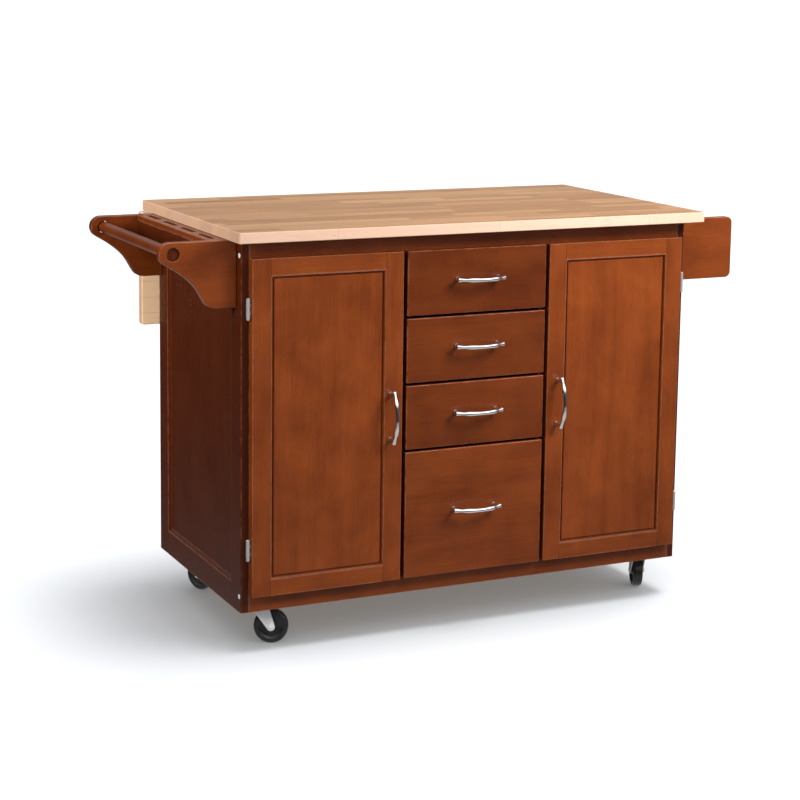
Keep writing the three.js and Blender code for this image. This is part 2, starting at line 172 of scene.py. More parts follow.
def makeWoodGrain():
    form = grainForm
    group, start, end = newGroup(
        "Wood grain", {"Vector": None, "Seed": 0.0, "Figure Width": 0.05, "Fibre Width": 0.0018},
        ("Figure", "Fibre", "Pores", "Cloud"))
    shift = combined(group, *(product(group, start["Seed"], jump) for jump in form["seedJump"]))
    moved = vectorMaths(group, "ADD", start["Vector"], shift)
    # The rings of a flat-sawn board are level lines of a slow field drawn out along the grain.
    drawn = vectorMaths(group, "MULTIPLY", moved, form["figureStretch"])
    field = noise(group, measured(group, drawn, start["Figure Width"]), 1.0, 1.5, 0.45, 0.35)
    rings = maths(group, "PINGPONG", product(group, field, form["rings"]), 1.0)
    group.links.new(remap(group, rings, 0.05, 0.95), end["Figure"])
    drawn = vectorMaths(group, "MULTIPLY", moved, form["fibreStretch"])
    fibre = noise(group, measured(group, drawn, start["Fibre Width"]), 1.0, 3.0, 0.6)
    group.links.new(remap(group, fibre, 0.3, 0.7), end["Fibre"])
    dashes = noise(group, vectorMaths(group, "MULTIPLY", moved, form["poreStretch"]), 1.0, 1.0)
    group.links.new(remap(group, dashes, 0.62, 0.74), end["Pores"])
    cloud = noise(group, moved, form["cloudScale"], 3.0, 0.55, 0.3)
    group.links.new(remap(group, cloud, 0.3, 0.7), end["Cloud"])
    return group


def makeEdgeWearAndHighlight():
    # Second smallest distance to the faces of the piece's own box: small along its arrises.
    # It masks the arrises that are painted lighter, partly as worn stain and partly as a painted highlight.
    group, start, end = newGroup("Edge wear and painted highlight", {"Vector": None, "Half Size": None, "Width": 0.002}, ("Wear And Highlight",))
    away = vectorMaths(group, "ABSOLUTE", start["Vector"])
    x, y, z = split(group, vectorMaths(group, "SUBTRACT", start["Half Size"], away))
    least = maths(group, "MINIMUM", maths(group, "MINIMUM", x, y), z)
    most = maths(group, "MAXIMUM", maths(group, "MAXIMUM", x, y), z)
    total = maths(group, "ADD", maths(group, "ADD", x, y), z)
    middle = maths(group, "SUBTRACT", maths(group, "SUBTRACT", total, least), most)
    uneven = remap(group, noise(group, start["Vector"], 60.0, 3.0), 0.3, 0.7, 0.4, 1.3)
    reach = product(group, start["Width"], uneven)
    wearAndHighlight = maths(group, "SUBTRACT", 1.0, maths(group, "DIVIDE", middle, reach), clamp=True)
    group.links.new(wearAndHighlight, end["Wear And Highlight"])
    return group


def makeHaze():
    group, start, end = newGroup("Haze", {"Vector": None, "Size": 0.05}, ("Haze",))
    wide = noise(group, measured(group, start["Vector"], start["Size"]), 1.0, 4.0, 0.6, 0.4)
    group.links.new(remap(group, wide, 0.3, 0.72), end["Haze"])
    return group


staveForm = {"origin": 10.0, "lengthSpread": (0.75, 1.3), "stagger": 17.3, "grainJump": (9.0, 5.0, 7.0)}


def makeStaves():
    form = staveForm
    group, start, end = newGroup(
        "Staves", {"Vector": None, "Width": 0.038, "Length": 0.33, "Seam": 0.0007},
        ("Tone", "Warmth", "Seams", "Own Vector"))
    x, y = split(group, start["Vector"])[:2]
    across = maths(group, "DIVIDE", maths(group, "ADD", y, form["origin"]), start["Width"])
    row = maths(group, "FLOOR", across)
    rowRandom = addNode(group, "ShaderNodeTexWhiteNoise", {"W": row}, noise_dimensions="1D").outputs["Value"]
    length = product(group, start["Length"], remap(group, rowRandom, 0.0, 1.0, *form["lengthSpread"]))
    along = maths(group, "ADD", maths(group, "DIVIDE", maths(group, "ADD", x, form["origin"]), length),
                  product(group, rowRandom, form["stagger"]))
    cell = combined(group, row, maths(group, "FLOOR", along))
    dice = addNode(group, "ShaderNodeTexWhiteNoise", {"Vector": cell}, noise_dimensions="2D").outputs
    group.links.new(dice["Value"], end["Tone"])
    chances = addNode(group, "ShaderNodeSeparateColor", {0: dice["Color"]}).outputs
    group.links.new(chances[1], end["Warmth"])
    sideGap = product(group, maths(group, "PINGPONG", across, 0.5), start["Width"])
    endGap = product(group, maths(group, "PINGPONG", along, 0.5), length)
    nearest = maths(group, "MINIMUM", sideGap, endGap)
    seam = maths(group, "SUBTRACT", 1.0, maths(group, "DIVIDE", nearest, start["Seam"]), clamp=True)
    group.links.new(seam, end["Seams"])
    # Each stave takes its grain from another part of the wood.
    jump = combined(group, *(product(group, a, b) for a, b in zip(chances, form["grainJump"])))
    group.links.new(vectorMaths(group, "ADD", start["Vector"], jump), end["Own Vector"])
    return group


woodGrain, edgeWearAndHighlight, haze, staves = makeWoodGrain(), makeEdgeWearAndHighlight(), makeHaze(), makeStaves()


def newMaterial(name, shader):
    material = bpy.data.materials.new(name)
    material.use_nodes = True
    tree = material.node_tree
    principled = tree.nodes["Principled BSDF"]
    for label, value in shader.items():
        principled.inputs[label].default_value = value
    place = addNode(tree, "ShaderNodeTexCoord")
    return material, tree, principled, place.outputs


def attribute(tree, name, output="Fac"):
    return addNode(tree, "ShaderNodeAttribute", attribute_name=name).outputs[output]


def useGroup(tree, group, inputs):
    return addNode(tree, "ShaderNodeGroup", inputs, node_tree=group).outputs


def useGrain(tree, look, vector, seed=0.0):
    return useGroup(tree, woodGrain, {"Vector": vector, "Seed": seed, "Figure Width": look["figureWidth"],
                                      "Fibre Width": look["fibreWidth"]})


def useWearAndHighlight(tree, look, vector):
    half = attribute(tree, "halfSize", "Vector")
    return useGroup(tree, edgeWearAndHighlight, {"Vector": vector, "Half Size": half, "Width": look["wearAndHighlightWidth"]})[0]


def useHaze(tree, look, vector):
    return useGroup(tree, haze, {"Vector": vector, "Size": look["hazeSize"]})[0]


def endGrain(tree, place):
    x = split(tree, place["Normal"])[0]
    return remap(tree, maths(tree, "ABSOLUTE", x), 0.6, 0.95)


def joinShader(tree, principled, look, colour, gloss, height):
    tree.links.new(colour, principled.inputs["Base Color"])
    tree.links.new(remap(tree, gloss, 0, 1, *look["roughness"]), principled.inputs["Roughness"])
    bump = addNode(tree, "ShaderNodeBump", {"Height": height, "Distance": look["bump"], "Strength": 1.0})
    tree.links.new(bump.outputs[0], principled.inputs["Normal"])


cherryLook = {
    "light": (0.235, 0.05, 0.0085, 1), "dark": (0.098, 0.0178, 0.0028, 1), "deep": (0.036, 0.0052, 0.0009, 1),
    "wearAndHighlight": (0.3, 0.12, 0.065, 1), "roughness": (0.22, 0.38), "bump": 0.00012,
    "shader": {"Coat Weight": 0.2, "Coat Roughness": 0.16, "Specular IOR Level": 0.2},
    "figureWidth": 0.075, "fibreWidth": 0.0021, "wearAndHighlightWidth": 0.0024, "hazeSize": 0.09,
    "ground": 0.08, "figure": 0.18, "fibre": 0.2, "cloud": 0.46, "pores": 0.26, "ends": 0.45, "wearAndHighlightAmount": 0.75,
}


def makeCherry():
    look = cherryLook
    material, tree, principled, place = newMaterial("Cherry stain", look["shader"])
    grain = useGrain(tree, look, place["Object"], attribute(tree, "boardSeed"))
    wearAndHighlight = useWearAndHighlight(tree, look, place["Object"])
    dull = useHaze(tree, look, place["Object"])
    depth = weighed(tree, (grain["Figure"], look["figure"]), (grain["Fibre"], look["fibre"]),
                    (grain["Cloud"], look["cloud"]))
    depth = maths(tree, "ADD", depth, look["ground"])
    colour = mixColour(tree, depth, look["dark"], look["light"])
    # Pores and end grain darken the colour, and so does the piece's painted shade and stain.
    for amount in (product(tree, grain["Pores"], look["pores"]),
                   product(tree, endGrain(tree, place), look["ends"]), attribute(tree, "stain")):
        colour = mixColour(tree, amount, colour, look["deep"])
    # Arrises are painted lighter: partly worn stain, partly a painted highlight where light catches them.
    colour = mixColour(tree, product(tree, wearAndHighlight, look["wearAndHighlightAmount"]), colour, look["wearAndHighlight"])
    gloss = weighed(tree, (grain["Fibre"], 0.3), (dull, 0.7))
    height = maths(tree, "SUBTRACT", product(tree, grain["Fibre"], 0.4), grain["Pores"])
    joinShader(tree, principled, look, colour, gloss, height)
    return material


blockLook = {
    "light": (0.43, 0.25, 0.125, 1), "dark": (0.185, 0.086, 0.034, 1), "warm": (0.305, 0.139, 0.06, 1),
    "pale": (0.74, 0.5, 0.385, 1), "seam": (0.18, 0.08, 0.033, 1), "bare": (1.0, 0.68, 0.42, 1),
    "roughness": (0.42, 0.58), "bump": 0.00015, "shader": {"Specular IOR Level": 0.22},
    "figureWidth": 0.03, "fibreWidth": 0.0016, "wearAndHighlightWidth": 0.004, "hazeSize": 0.14,
    "tone": 0.58, "figure": 0.2, "fibre": 0.22, "warmth": 0.35, "edge": 0.85, "ends": 0.45,
    "edgeTone": 0.35, "under": 0.7, "pores": 0.3, "seams": 0.55, "wearAndHighlightAmount": 0.25,
}


def makeBlock():
    look = blockLook
    material, tree, principled, place = newMaterial("Oiled butcher block", look["shader"])
    moved = vectorMaths(tree, "ADD", place["Object"], combined(tree, attribute(tree, "boardSeed")))
    laid = useGroup(tree, staves, {"Vector": moved})
    grain = useGrain(tree, look, laid["Own Vector"])
    wearAndHighlight = useWearAndHighlight(tree, look, place["Object"])
    dull = useHaze(tree, look, moved)
    depth = weighed(tree, (laid["Tone"], look["tone"]), (grain["Figure"], look["figure"]),
                    (grain["Fibre"], look["fibre"]))
    colour = mixColour(tree, depth, look["dark"], look["light"])
    colour = mixColour(tree, product(tree, laid["Warmth"], look["warmth"]), colour, look["warm"])
    # The top is oiled and darker. The sides are painted paler, partly as painted light from the front, and
    # faces that look down are painted near bare wood, partly as painted light on the leaf's shaded face.
    z = split(tree, place["Normal"])[2]
    edge = maths(tree, "SUBTRACT", 1.0, remap(tree, maths(tree, "ABSOLUTE", z), 0.4, 0.85))
    ends = product(tree, endGrain(tree, place), look["ends"])
    edge = product(tree, edge, maths(tree, "SUBTRACT", look["edge"], ends))
    # sawn holds the paler side colour, which is partly painted light from the front.
    sawn = mixColour(tree, product(tree, depth, look["edgeTone"]), look["pale"], look["light"])
    colour = mixColour(tree, edge, colour, sawn)
    # Faces that look down are painted near bare wood, partly as painted light on the leaf's shaded face.
    colour = mixColour(tree, remap(tree, z, -0.4, -0.85, 0.0, look["under"]), colour, look["bare"])
    # Pores and seams are darkened; the arrises are painted pale, as wear and a painted highlight.
    for amount, tint in ((product(tree, grain["Pores"], look["pores"]), look["seam"]),
                         (product(tree, laid["Seams"], look["seams"]), look["seam"]),
                         (product(tree, wearAndHighlight, look["wearAndHighlightAmount"]), look["pale"])):
        colour = mixColour(tree, amount, colour, tint)
    gloss = weighed(tree, (laid["Tone"], 0.25), (dull, 0.75))
    height = maths(tree, "SUBTRACT", product(tree, grain["Fibre"], 0.4),
                   maths(tree, "ADD", grain["Pores"], laid["Seams"]))
    joinShader(tree, principled, look, colour, gloss, height)
    return material


paleLook = {
    "light": (0.62, 0.44, 0.27, 1), "dark": (0.42, 0.27, 0.15, 1), "roughness": (0.45, 0.6),
    "bump": 0.00006, "shader": {"Specular IOR Level": 0.35}, "figureWidth": 0.11, "fibreWidth": 0.0025,
    "ply": 0.0016, "plyDepth": 0.6,
}


def makePale():
    look = paleLook
    material, tree, principled, place = newMaterial("Pale inside board", look["shader"])
    grain = useGrain(tree, look, place["Object"], attribute(tree, "boardSeed"))
    depth = weighed(tree, (grain["Figure"], 0.5), (grain["Fibre"], 0.5))
    colour = mixColour(tree, depth, look["dark"], look["light"])
    # Plies show as bands on the cut ends.
    z = split(tree, place["Object"])[2]
    ply = remap(tree, maths(tree, "PINGPONG", z, look["ply"]), 0.0006, 0.001)
    banded = product(tree, ply, product(tree, endGrain(tree, place), look["plyDepth"]))
    colour = mixColour(tree, banded, colour, look["dark"])
    joinShader(tree, principled, look, colour, grain["Cloud"], grain["Fibre"])
    return material


metalLook = {
    "chrome": {"metal": 1.0, "colour": (0.86, 0.86, 0.87, 1), "smudge": (0.72, 0.72, 0.73, 1),
               "roughness": (0.05, 0.14), "hazeSize": 0.012, "bump": 0.000004},
    "zinc": {"metal": 0.3, "colour": (0.86, 0.87, 0.88, 1), "smudge": (0.7, 0.71, 0.72, 1),
             "roughness": (0.26, 0.42), "hazeSize": 0.009, "bump": 0.00003},
    "nickel": {"metal": 0.65, "colour": (0.7, 0.68, 0.66, 1), "smudge": (0.55, 0.53, 0.51, 1),
               "roughness": (0.25, 0.38), "hazeSize": 0.006, "bump": 0.00001},
}


def makeMetal(name, look):
    material, tree, principled, place = newMaterial(name, {"Metallic": look["metal"]})
    dull = useHaze(tree, look, place["Object"])
    colour = mixColour(tree, product(tree, dull, 0.6), look["colour"], look["smudge"])
    grit = noise(tree, place["Object"], 1400.0, 2.0)
    joinShader(tree, principled, look, colour, dull, grit)
    return material


rubberLook = {"colour": (0.008, 0.008, 0.009, 1), "dust": (0.036, 0.035, 0.035, 1), "roughness": (0.24, 0.5),
              "hazeSize": 0.012, "bump": 0.00005, "shader": {"Specular IOR Level": 0.5}}


def makeRubber():
    look = rubberLook
    material, tree, principled, place = newMaterial("Black rubber", look["shader"])
    dull = useHaze(tree, look, place["Object"])
    colour = mixColour(tree, product(tree, dull, 0.5), look["colour"], look["dust"])
    joinShader(tree, principled, look, colour, dull, noise(tree, place["Object"], 900.0, 3.0))
    return material


finishes = {
    "cherry": (makeCherry(), "cherry_wood"),
    "block": (makeBlock(), "butcher_block"),
    "pale": (makePale(), "pale_board"),
    "chrome": (makeMetal("Polished chrome", metalLook["chrome"]), "polished_chrome"),
    "zinc": (makeMetal("Zinc steel", metalLook["zinc"]), "zinc_steel"),
    "nickel": (makeMetal("Nickel plate", metalLook["nickel"]), "zinc_steel"),
    "rubber": (makeRubber(), "black_rubber"),
}
print("materials made:", len(finishes))


grainTurns = {
    "x": Matrix.Identity(4),
    "y": Matrix.Rotation(math.pi / 2, 4, "Z"),
    "z": Matrix.Rotation(-math.pi / 2, 4, "Y"),
    "xUpright": Matrix.Rotation(-math.pi / 2, 4, "X"),
}
sharpAngle = math.radians(42)
mirrored = Matrix.Translation((cabinetWidth, 0, 0)) @ Matrix.Scale(-1, 4, (1, 0, 0))


def extent(bm):
    low = Vector([min(v.co[i] for v in bm.verts) for i in range(3)])
    high = Vector([max(v.co[i] for v in bm.verts) for i in range(3)])
    return low, high


def addPiece(name, bm, finish, body, grain="x", nodes=(), stain=0.0, mirror=False, place=None, joins=()):
    # The piece's own X axis follows its grain, so that one wood suits every board. Towards the
    # sides in joins it butts another piece, and its edges there get no painted edge wear or highlight.
    if place is not None:
        bm.transform(place)
    if mirror:
        bm.transform(mirrored)
    bmesh.ops.recalc_face_normals(bm, faces=bm.faces)
    low, high = extent(bm)
    centre = (low + high) / 2
    turn = grainTurns[grain]
    bm.transform(Matrix.Scale(mm, 4) @ (Matrix.Translation(centre) @ turn).inverted())
    half = [max(abs(v.co[i]) for v in bm.verts) for i in range(3)]
    halves = []
    for v in bm.verts:
        room = list(half)
        for way in joins:
            flipped = Vector((-way[0] if mirror else way[0], way[1], way[2]))
            own = turn.to_3x3().inverted() @ flipped
            for i in range(3):
                if abs(own[i]) > 0.5 and v.co[i] * own[i] > 0:
                    room[i] += 0.05
        halves += room
    mesh = bpy.data.meshes.new(name)
    bm.to_mesh(mesh)
    bm.free()
    count = len(mesh.vertices)
    seed = (sum((i + 3) * ord(letter) for i, letter in enumerate(name)) % 997) / 97
    mesh.attributes.new("boardSeed", "FLOAT", "POINT").data.foreach_set("value", [seed] * count)
    # stain darkens a piece towards the deep colour; on the sides, dividers, knife guard and rack ends this is
    # painted shade.
    mesh.attributes.new("stain", "FLOAT", "POINT").data.foreach_set("value", [stain] * count)
    mesh.attributes.new("halfSize", "FLOAT_VECTOR", "POINT").data.foreach_set("vector", halves)
    mesh.polygons.foreach_set("use_smooth", [True] * len(mesh.polygons))
    mesh.set_sharp_from_angle(angle=sharpAngle)
    material, slotName = finishes[finish]
    mesh.materials.append(material)
    piece = bpy.data.objects.new(name, mesh)
    bpy.context.scene.collection.objects.link(piece)
    piece.matrix_world = Matrix.Translation(cabinetCorner + centre * mm) @ turn
    weighted = piece.modifiers.new("Flat faces", "WEIGHTED_NORMAL")
    weighted.keep_sharp = True
    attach(piece, body)
    if nodes:
        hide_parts(*nodes)
    return piece


def bridge(bm, rings, closed=False):
    pairs = list(zip(rings, rings[1:]))
    if closed:
        pairs.append((rings[-1], rings[0]))
    for a, b in pairs:
        for i in range(len(a)):
            j = (i + 1) % len(a)
            bm.faces.new((a[i], a[j], b[j], b[i]))


def block(bm, low, high, ease=1.0, steps=2):
    made = bmesh.new()
    corners = [[made.verts.new((x, y, z)) for x, y in (
        (low[0], low[1]), (high[0], low[1]), (high[0], high[1]), (low[0], high[1]))]
        for z in (low[2], high[2])]
    bridge(made, corners)
    made.faces.new(reversed(corners[0]))
    made.faces.new(corners[1])
    if ease:
        bmesh.ops.bevel(made, geom=list(made.edges), offset=ease, segments=steps, profile=0.5,
                        affect="EDGES", clamp_overlap=True)
    absorb(bm, made)


def absorb(bm, made, place=None):
    if place is not None:
        made.transform(place)
    bmesh.ops.recalc_face_normals(made, faces=made.faces)
    spare = bpy.data.meshes.new("spare")
    made.to_mesh(spare)
    made.free()
    bm.from_mesh(spare)
    bpy.data.meshes.remove(spare)


def board(name, low, high, finish="cherry", body="cabinet", grain="x", ease=1.2, steps=2, **rest):
    bm = bmesh.new()
    block(bm, low, high, ease, steps)
    return addPiece(name, bm, finish, body, grain, **rest)


def nodeBoard(node, finish="cherry", body="cabinet", grain="x", ease=1.2, **rest):
    low, high = span(node)
    return board(node + "_board", low, high, finish, body, grain, ease, nodes=(node,), **rest)


def arc(centre, radius, start, stop, steps):
    return [(centre[0] + radius * math.cos(math.radians(start + (stop - start) * i / steps)),
             centre[1] + radius * math.sin(math.radians(start + (stop - start) * i / steps)))
            for i in range(steps + 1)]


def roundedLoop(x0, y0, x1, y1, radius, steps=6):
    corners = ((x1 - radius, y0 + radius, -90), (x1 - radius, y1 - radius, 0),
               (x0 + radius, y1 - radius, 90), (x0 + radius, y0 + radius, 180))
    return [p for x, y, a in corners for p in arc((x, y), radius, a, a + 90, steps)]


def inwards(loop, distance):
    moved = []
    for i, (x, y) in enumerate(loop):
        before, after = Vector(loop[i - 1]), Vector(loop[(i + 1) % len(loop)])
        here = Vector((x, y))
        a, b = (here - before).normalized(), (after - here).normalized()
        normalA, normalB = Vector((-a.y, a.x)), Vector((-b.y, b.x))
        mean = (normalA + normalB).normalized()
        moved.append(here + mean * distance / max(0.35, mean.dot(normalA)))
    return moved


axisOrders = {"xz": (0, 2, 1), "yz": (1, 2, 0), "xy": (0, 1, 2)}


def outlineBoard(bm, plane, loops, low, high, ease=1.5, steps=3):
    # Loops run with the wood on their left: the outline one way round, holes the other.
    order = axisOrders[plane]
    made = bmesh.new()

    def vertex(point, level):
        place = [0.0, 0.0, 0.0]
        place[order[0]], place[order[1]], place[order[2]] = point[0], point[1], level
        return made.verts.new(place)

    levels = []
    for i in range(steps + 1):
        angle = math.pi / 2 * i / steps
        levels.append((ease * (1 - math.sin(angle)), low + ease * (1 - math.cos(angle))))
    levels += [(inset, low + high - level) for inset, level in reversed(levels)]
    firstEdges, lastEdges = [], []
    for loop in loops:
        rings = [[vertex(p, level) for p in inwards(loop, inset)] for inset, level in levels]
        bridge(made, rings)
        for ring, edges in ((rings[0], firstEdges), (rings[-1], lastEdges)):
            edges += [made.edges.get((ring[i - 1], ring[i])) for i in range(len(ring))]
    for edges in (firstEdges, lastEdges):
        bmesh.ops.triangle_fill(made, edges=edges, use_beauty=True)
    absorb(bm, made)


def lathe(bm, profile, axis, centre, sides):
    # Profile points are (radius, height along the axis); ends with radius 0 close the form.
    made = bmesh.new()
    order = {"x": (1, 2, 0), "y": (0, 2, 1), "z": (0, 1, 2)}[axis]
    rings = []
    for radius, height in profile:
        ring = []
        for i in range(sides):
            angle = 2 * math.pi * i / sides
            point = [0.0, 0.0, 0.0]
            point[order[0]] = centre[order[0]] + max(radius, 0.001) * math.cos(angle)
            point[order[1]] = centre[order[1]] + max(radius, 0.001) * math.sin(angle)
            point[order[2]] = centre[order[2]] + height
            ring.append(made.verts.new(point))
        rings.append(ring)
    whole = profile[0] == profile[-1]
    if whole:
        for v in rings.pop():
            made.verts.remove(v)
        bridge(made, rings, closed=True)
    else:
        bridge(made, rings)
        made.faces.new(rings[0])
        made.faces.new(rings[-1])
    absorb(bm, made)


def rodProfile(radius, low, high, ease):
    return [(radius - ease, low), (radius - 0.3 * ease, low + 0.3 * ease), (radius, low + ease),
            (radius, high - ease), (radius - 0.3 * ease, high - 0.3 * ease), (radius - ease, high)]


def mouldedRing(bm, plane, x0, y0, x1, y1, profile, level):
    # Profile points are (distance in from the rectangle, depth); the four corners are mitred.
    order = axisOrders[plane]
    rings = []
    for signX, signY, x, y in ((1, 1, x0, y0), (-1, 1, x1, y0), (-1, -1, x1, y1), (1, -1, x0, y1)):
        ring = []
        for inset, depth in profile:
            point = [0.0, 0.0, 0.0]
            point[order[0]] = x + signX * inset
            point[order[1]] = y + signY * inset
            point[order[2]] = level + depth
            ring.append(bm.verts.new(point))
        rings.append(ring)
    bridge(bm, rings, closed=True)


def steppedPanel(bm, plane, x0, y0, x1, y1, profile, level, back):
    # Flat panel whose border follows the profile, from its edge to the flat field.
    order = axisOrders[plane]
    made = bmesh.new()
    rings = []
    for inset, depth in [(0, back)] + profile:
        ring = []
        for x, y in ((x0 + inset, y0 + inset), (x1 - inset, y0 + inset),
                     (x1 - inset, y1 - inset), (x0 + inset, y1 - inset)):
            point = [0.0, 0.0, 0.0]
            point[order[0]], point[order[1]] = x, y
            point[order[2]] = level + depth
            ring.append(made.verts.new(point))
        rings.append(ring)
    bridge(made, rings)
    made.faces.new(rings[0])
    made.faces.new(rings[-1])
    absorb(bm, made)


screwSize = {"radius": 3.6, "height": 1.5}


def screwHead(bm, centre, axis, way=1, radius=screwSize["radius"], height=screwSize["height"]):
    # Pan head with a star drive, standing on a face and looking along way.
    made = bmesh.new()
    sides = 24
    rings = []
    for share, level, star in ((1.0, 0.0, 0), (1.0, 0.35, 0), (0.86, 0.8, 0), (0.62, 1.0, 0),
                               (0.5, 1.0, 1), (0.42, 0.35, 1)):
        ring = []
        for i in range(sides):
            angle = 2 * math.pi * i / sides
            pinch = 1.0 if not star else (1.0 if i % 6 < 2 else 0.5)
            r = radius * share * pinch
            ring.append(made.verts.new((r * math.cos(angle), r * math.sin(angle), height * level)))
        rings.append(ring)
    bridge(made, rings)
    made.faces.new(rings[0])
    made.faces.new(rings[-1])
    turn = {"x": Matrix.Rotation(math.pi / 2, 4, "Y"), "y": Matrix.Rotation(-math.pi / 2, 4, "X"),
            "z": Matrix.Identity(4)}[axis]
    flip = Matrix.Identity(4) if way > 0 else Matrix.Rotation(math.pi, 4, "X" if axis != "x" else "Z")
    absorb(bm, made, Matrix.Translation(centre) @ flip @ turn)


studio = {
    "azimuth": 25.398, "elevation": 8.673, "roll": 0.755, "distance": 4564.3,
    "target": (498.8, 272.5, 661.9), "lens": 87.93, "shift": -0.15,
    "floorColour": (0.62, 0.64, 0.665, 1), "floorGlow": 0.12, "floorReach": ((-40, -20), (40, 60)),
    "background": 1.05, "ambient": 0.44, "slant": 0.74, "lightFrom": (0.5, -0.3, 0.81), "fromBelow": 0.16,
    "aboveHeights": (0.2, 0.6), "mirroredLow": 0.11, "mirroredAbove": 2.2,
    "belowHeights": (-0.26, -0.44), "mirroredBelow": 0.5,
}


def aimed(position, target):
    back = (Vector(position) - Vector(target)).normalized()
    return back.to_track_quat("Z", "Y").to_matrix().to_4x4()


def makeCamera():
    azimuth, elevation, roll = (math.radians(studio[angle]) for angle in ("azimuth", "elevation", "roll"))
    back = Vector((-math.sin(azimuth) * math.cos(elevation),
                   -math.cos(azimuth) * math.cos(elevation), math.sin(elevation)))
    right = Vector((math.cos(azimuth), -math.sin(azimuth), 0))
    up = back.cross(right)
    turnedRight = right * math.cos(roll) + up * math.sin(roll)
    turnedUp = up * math.cos(roll) - right * math.sin(roll)
    data = bpy.data.cameras.new("camera")
    data.sensor_width = 36
    data.lens = studio["lens"]
    data.shift_y = studio["shift"]
    data.clip_end = 200
    camera = bpy.data.objects.new("camera", data)
    bpy.context.scene.collection.objects.link(camera)
    turn = Matrix((turnedRight, turnedUp, back)).transposed().to_4x4()
    place = cabinetCorner + (Vector(studio["target"]) + back * studio["distance"]) * mm
    camera.matrix_world = Matrix.Translation(place) @ turn
    bpy.context.scene.camera = camera


lamps = {
    "key": {"place": (1.15, -1.6, 2.0), "target": (0.25, -0.25, 0.95), "size": 0.9, "power": 15,
            "spread": 75},
    "left": {"place": (-2.9, -0.9, 1.5), "target": (-0.6, 0.3, 0.8), "size": 1.0, "power": 10,
             "spread": 50},
}
overhead = {"from": (0.2, -0.06, 1.0), "strength": 2.8, "angle": 27}


def addLamp(name, kind, turn, energy):
    data = bpy.data.lights.new(name, kind)
    data.energy = energy
    light = bpy.data.objects.new(name, data)
    light.matrix_world = turn
    bpy.context.scene.collection.objects.link(light)
    return light


def makeLamps():
    for name, lamp in lamps.items():
        turn = Matrix.Translation(lamp["place"]) @ aimed(lamp["place"], lamp["target"])
        light = addLamp(name, "AREA", turn, lamp["power"])
        light.data.size = lamp["size"]
        light.data.spread = math.radians(lamp["spread"])
        light.visible_glossy = False
    light = addLamp("overhead", "SUN", aimed(overhead["from"], (0, 0, 0)), overhead["strength"])
    light.data.angle = math.radians(overhead["angle"])


def makeWorld():
    world = bpy.data.worlds.new("studio")
    world.use_nodes = True
    bpy.context.scene.world = world
    tree = world.node_tree
    # Soft light that comes mostly from one side. What a gloss mirrors has its own strengths: high
    # above, low down and, dimmest, near the horizon.
    path = addNode(tree, "ShaderNodeLightPath").outputs
    way = addNode(tree, "ShaderNodeTexCoord").outputs["Generated"]
    towards = addNode(tree, "ShaderNodeVectorMath", {0: way, 1: studio["lightFrom"]},
                      operation="DOT_PRODUCT").outputs["Value"]
    slanted = maths(tree, "ADD", studio["ambient"], product(tree, towards, studio["slant"]))
    soft = maths(tree, "MAXIMUM", slanted, studio["fromBelow"])
    height = split(tree, way)[2]
    above = remap(tree, height, *studio["aboveHeights"], studio["mirroredLow"], studio["mirroredAbove"])
    below = remap(tree, height, *studio["belowHeights"], 0.0, studio["mirroredBelow"])
    mirroredLight = maths(tree, "ADD", product(tree, soft, above), below)
    lighting = remap(tree, path["Is Glossy Ray"], 0, 1, soft, mirroredLight)
    unseen = maths(tree, "SUBTRACT", 1.0, path["Is Camera Ray"])
    strength = weighed(tree, (lighting, unseen), (path["Is Camera Ray"], studio["background"]))
    tree.links.new(strength, tree.nodes["Background"].inputs["Strength"])
    tree.nodes["Background"].inputs["Color"].default_value = (1, 1, 1, 1)


def makeFloor():
    mesh = bpy.data.meshes.new("floor")
    (x0, y0), (x1, y1) = studio["floorReach"]
    mesh.from_pydata([(x0, y0, 0), (x1, y0, 0), (x1, y1, 0), (x0, y1, 0)], [], [(0, 1, 2, 3)])
    floor = bpy.data.objects.new("floor", mesh)
    bpy.context.scene.collection.objects.link(floor)
    material = newMaterial("Pale floor", {
        "Specular IOR Level": 0.1, "Roughness": 0.8, "Base Color": studio["floorColour"],
        "Emission Color": (1, 1, 1, 1), "Emission Strength": studio["floorGlow"]})[0]
    mesh.materials.append(material)
    floor.visible_glossy = False
    floor.visible_diffuse = False


makeCamera()
makeLamps()
makeWorld()
makeFloor()
bpy.context.scene.view_settings.view_transform = "Standard"
print("studio ready")

cabinetSizes = {
    "stile": 57, "bevelWidth": 7, "sunk": 6, "board": 19, "cornerRadius": 4.5, "sideStain": 0.85,
    "cap": [(5.5, 0.6), (5.5, -0.5), (4.6, -1.1), (2.6, -1.5), (0, -1.6)], "capDepth": 9,
    "capHeights": (36, 778),
    "bevel": [(0, 0), (0.9, 0.15), (2.2, 1.1), (4.6, 3.5), (6.3, 5.3), (7, 6), (7, 19), (0, 19)],
}


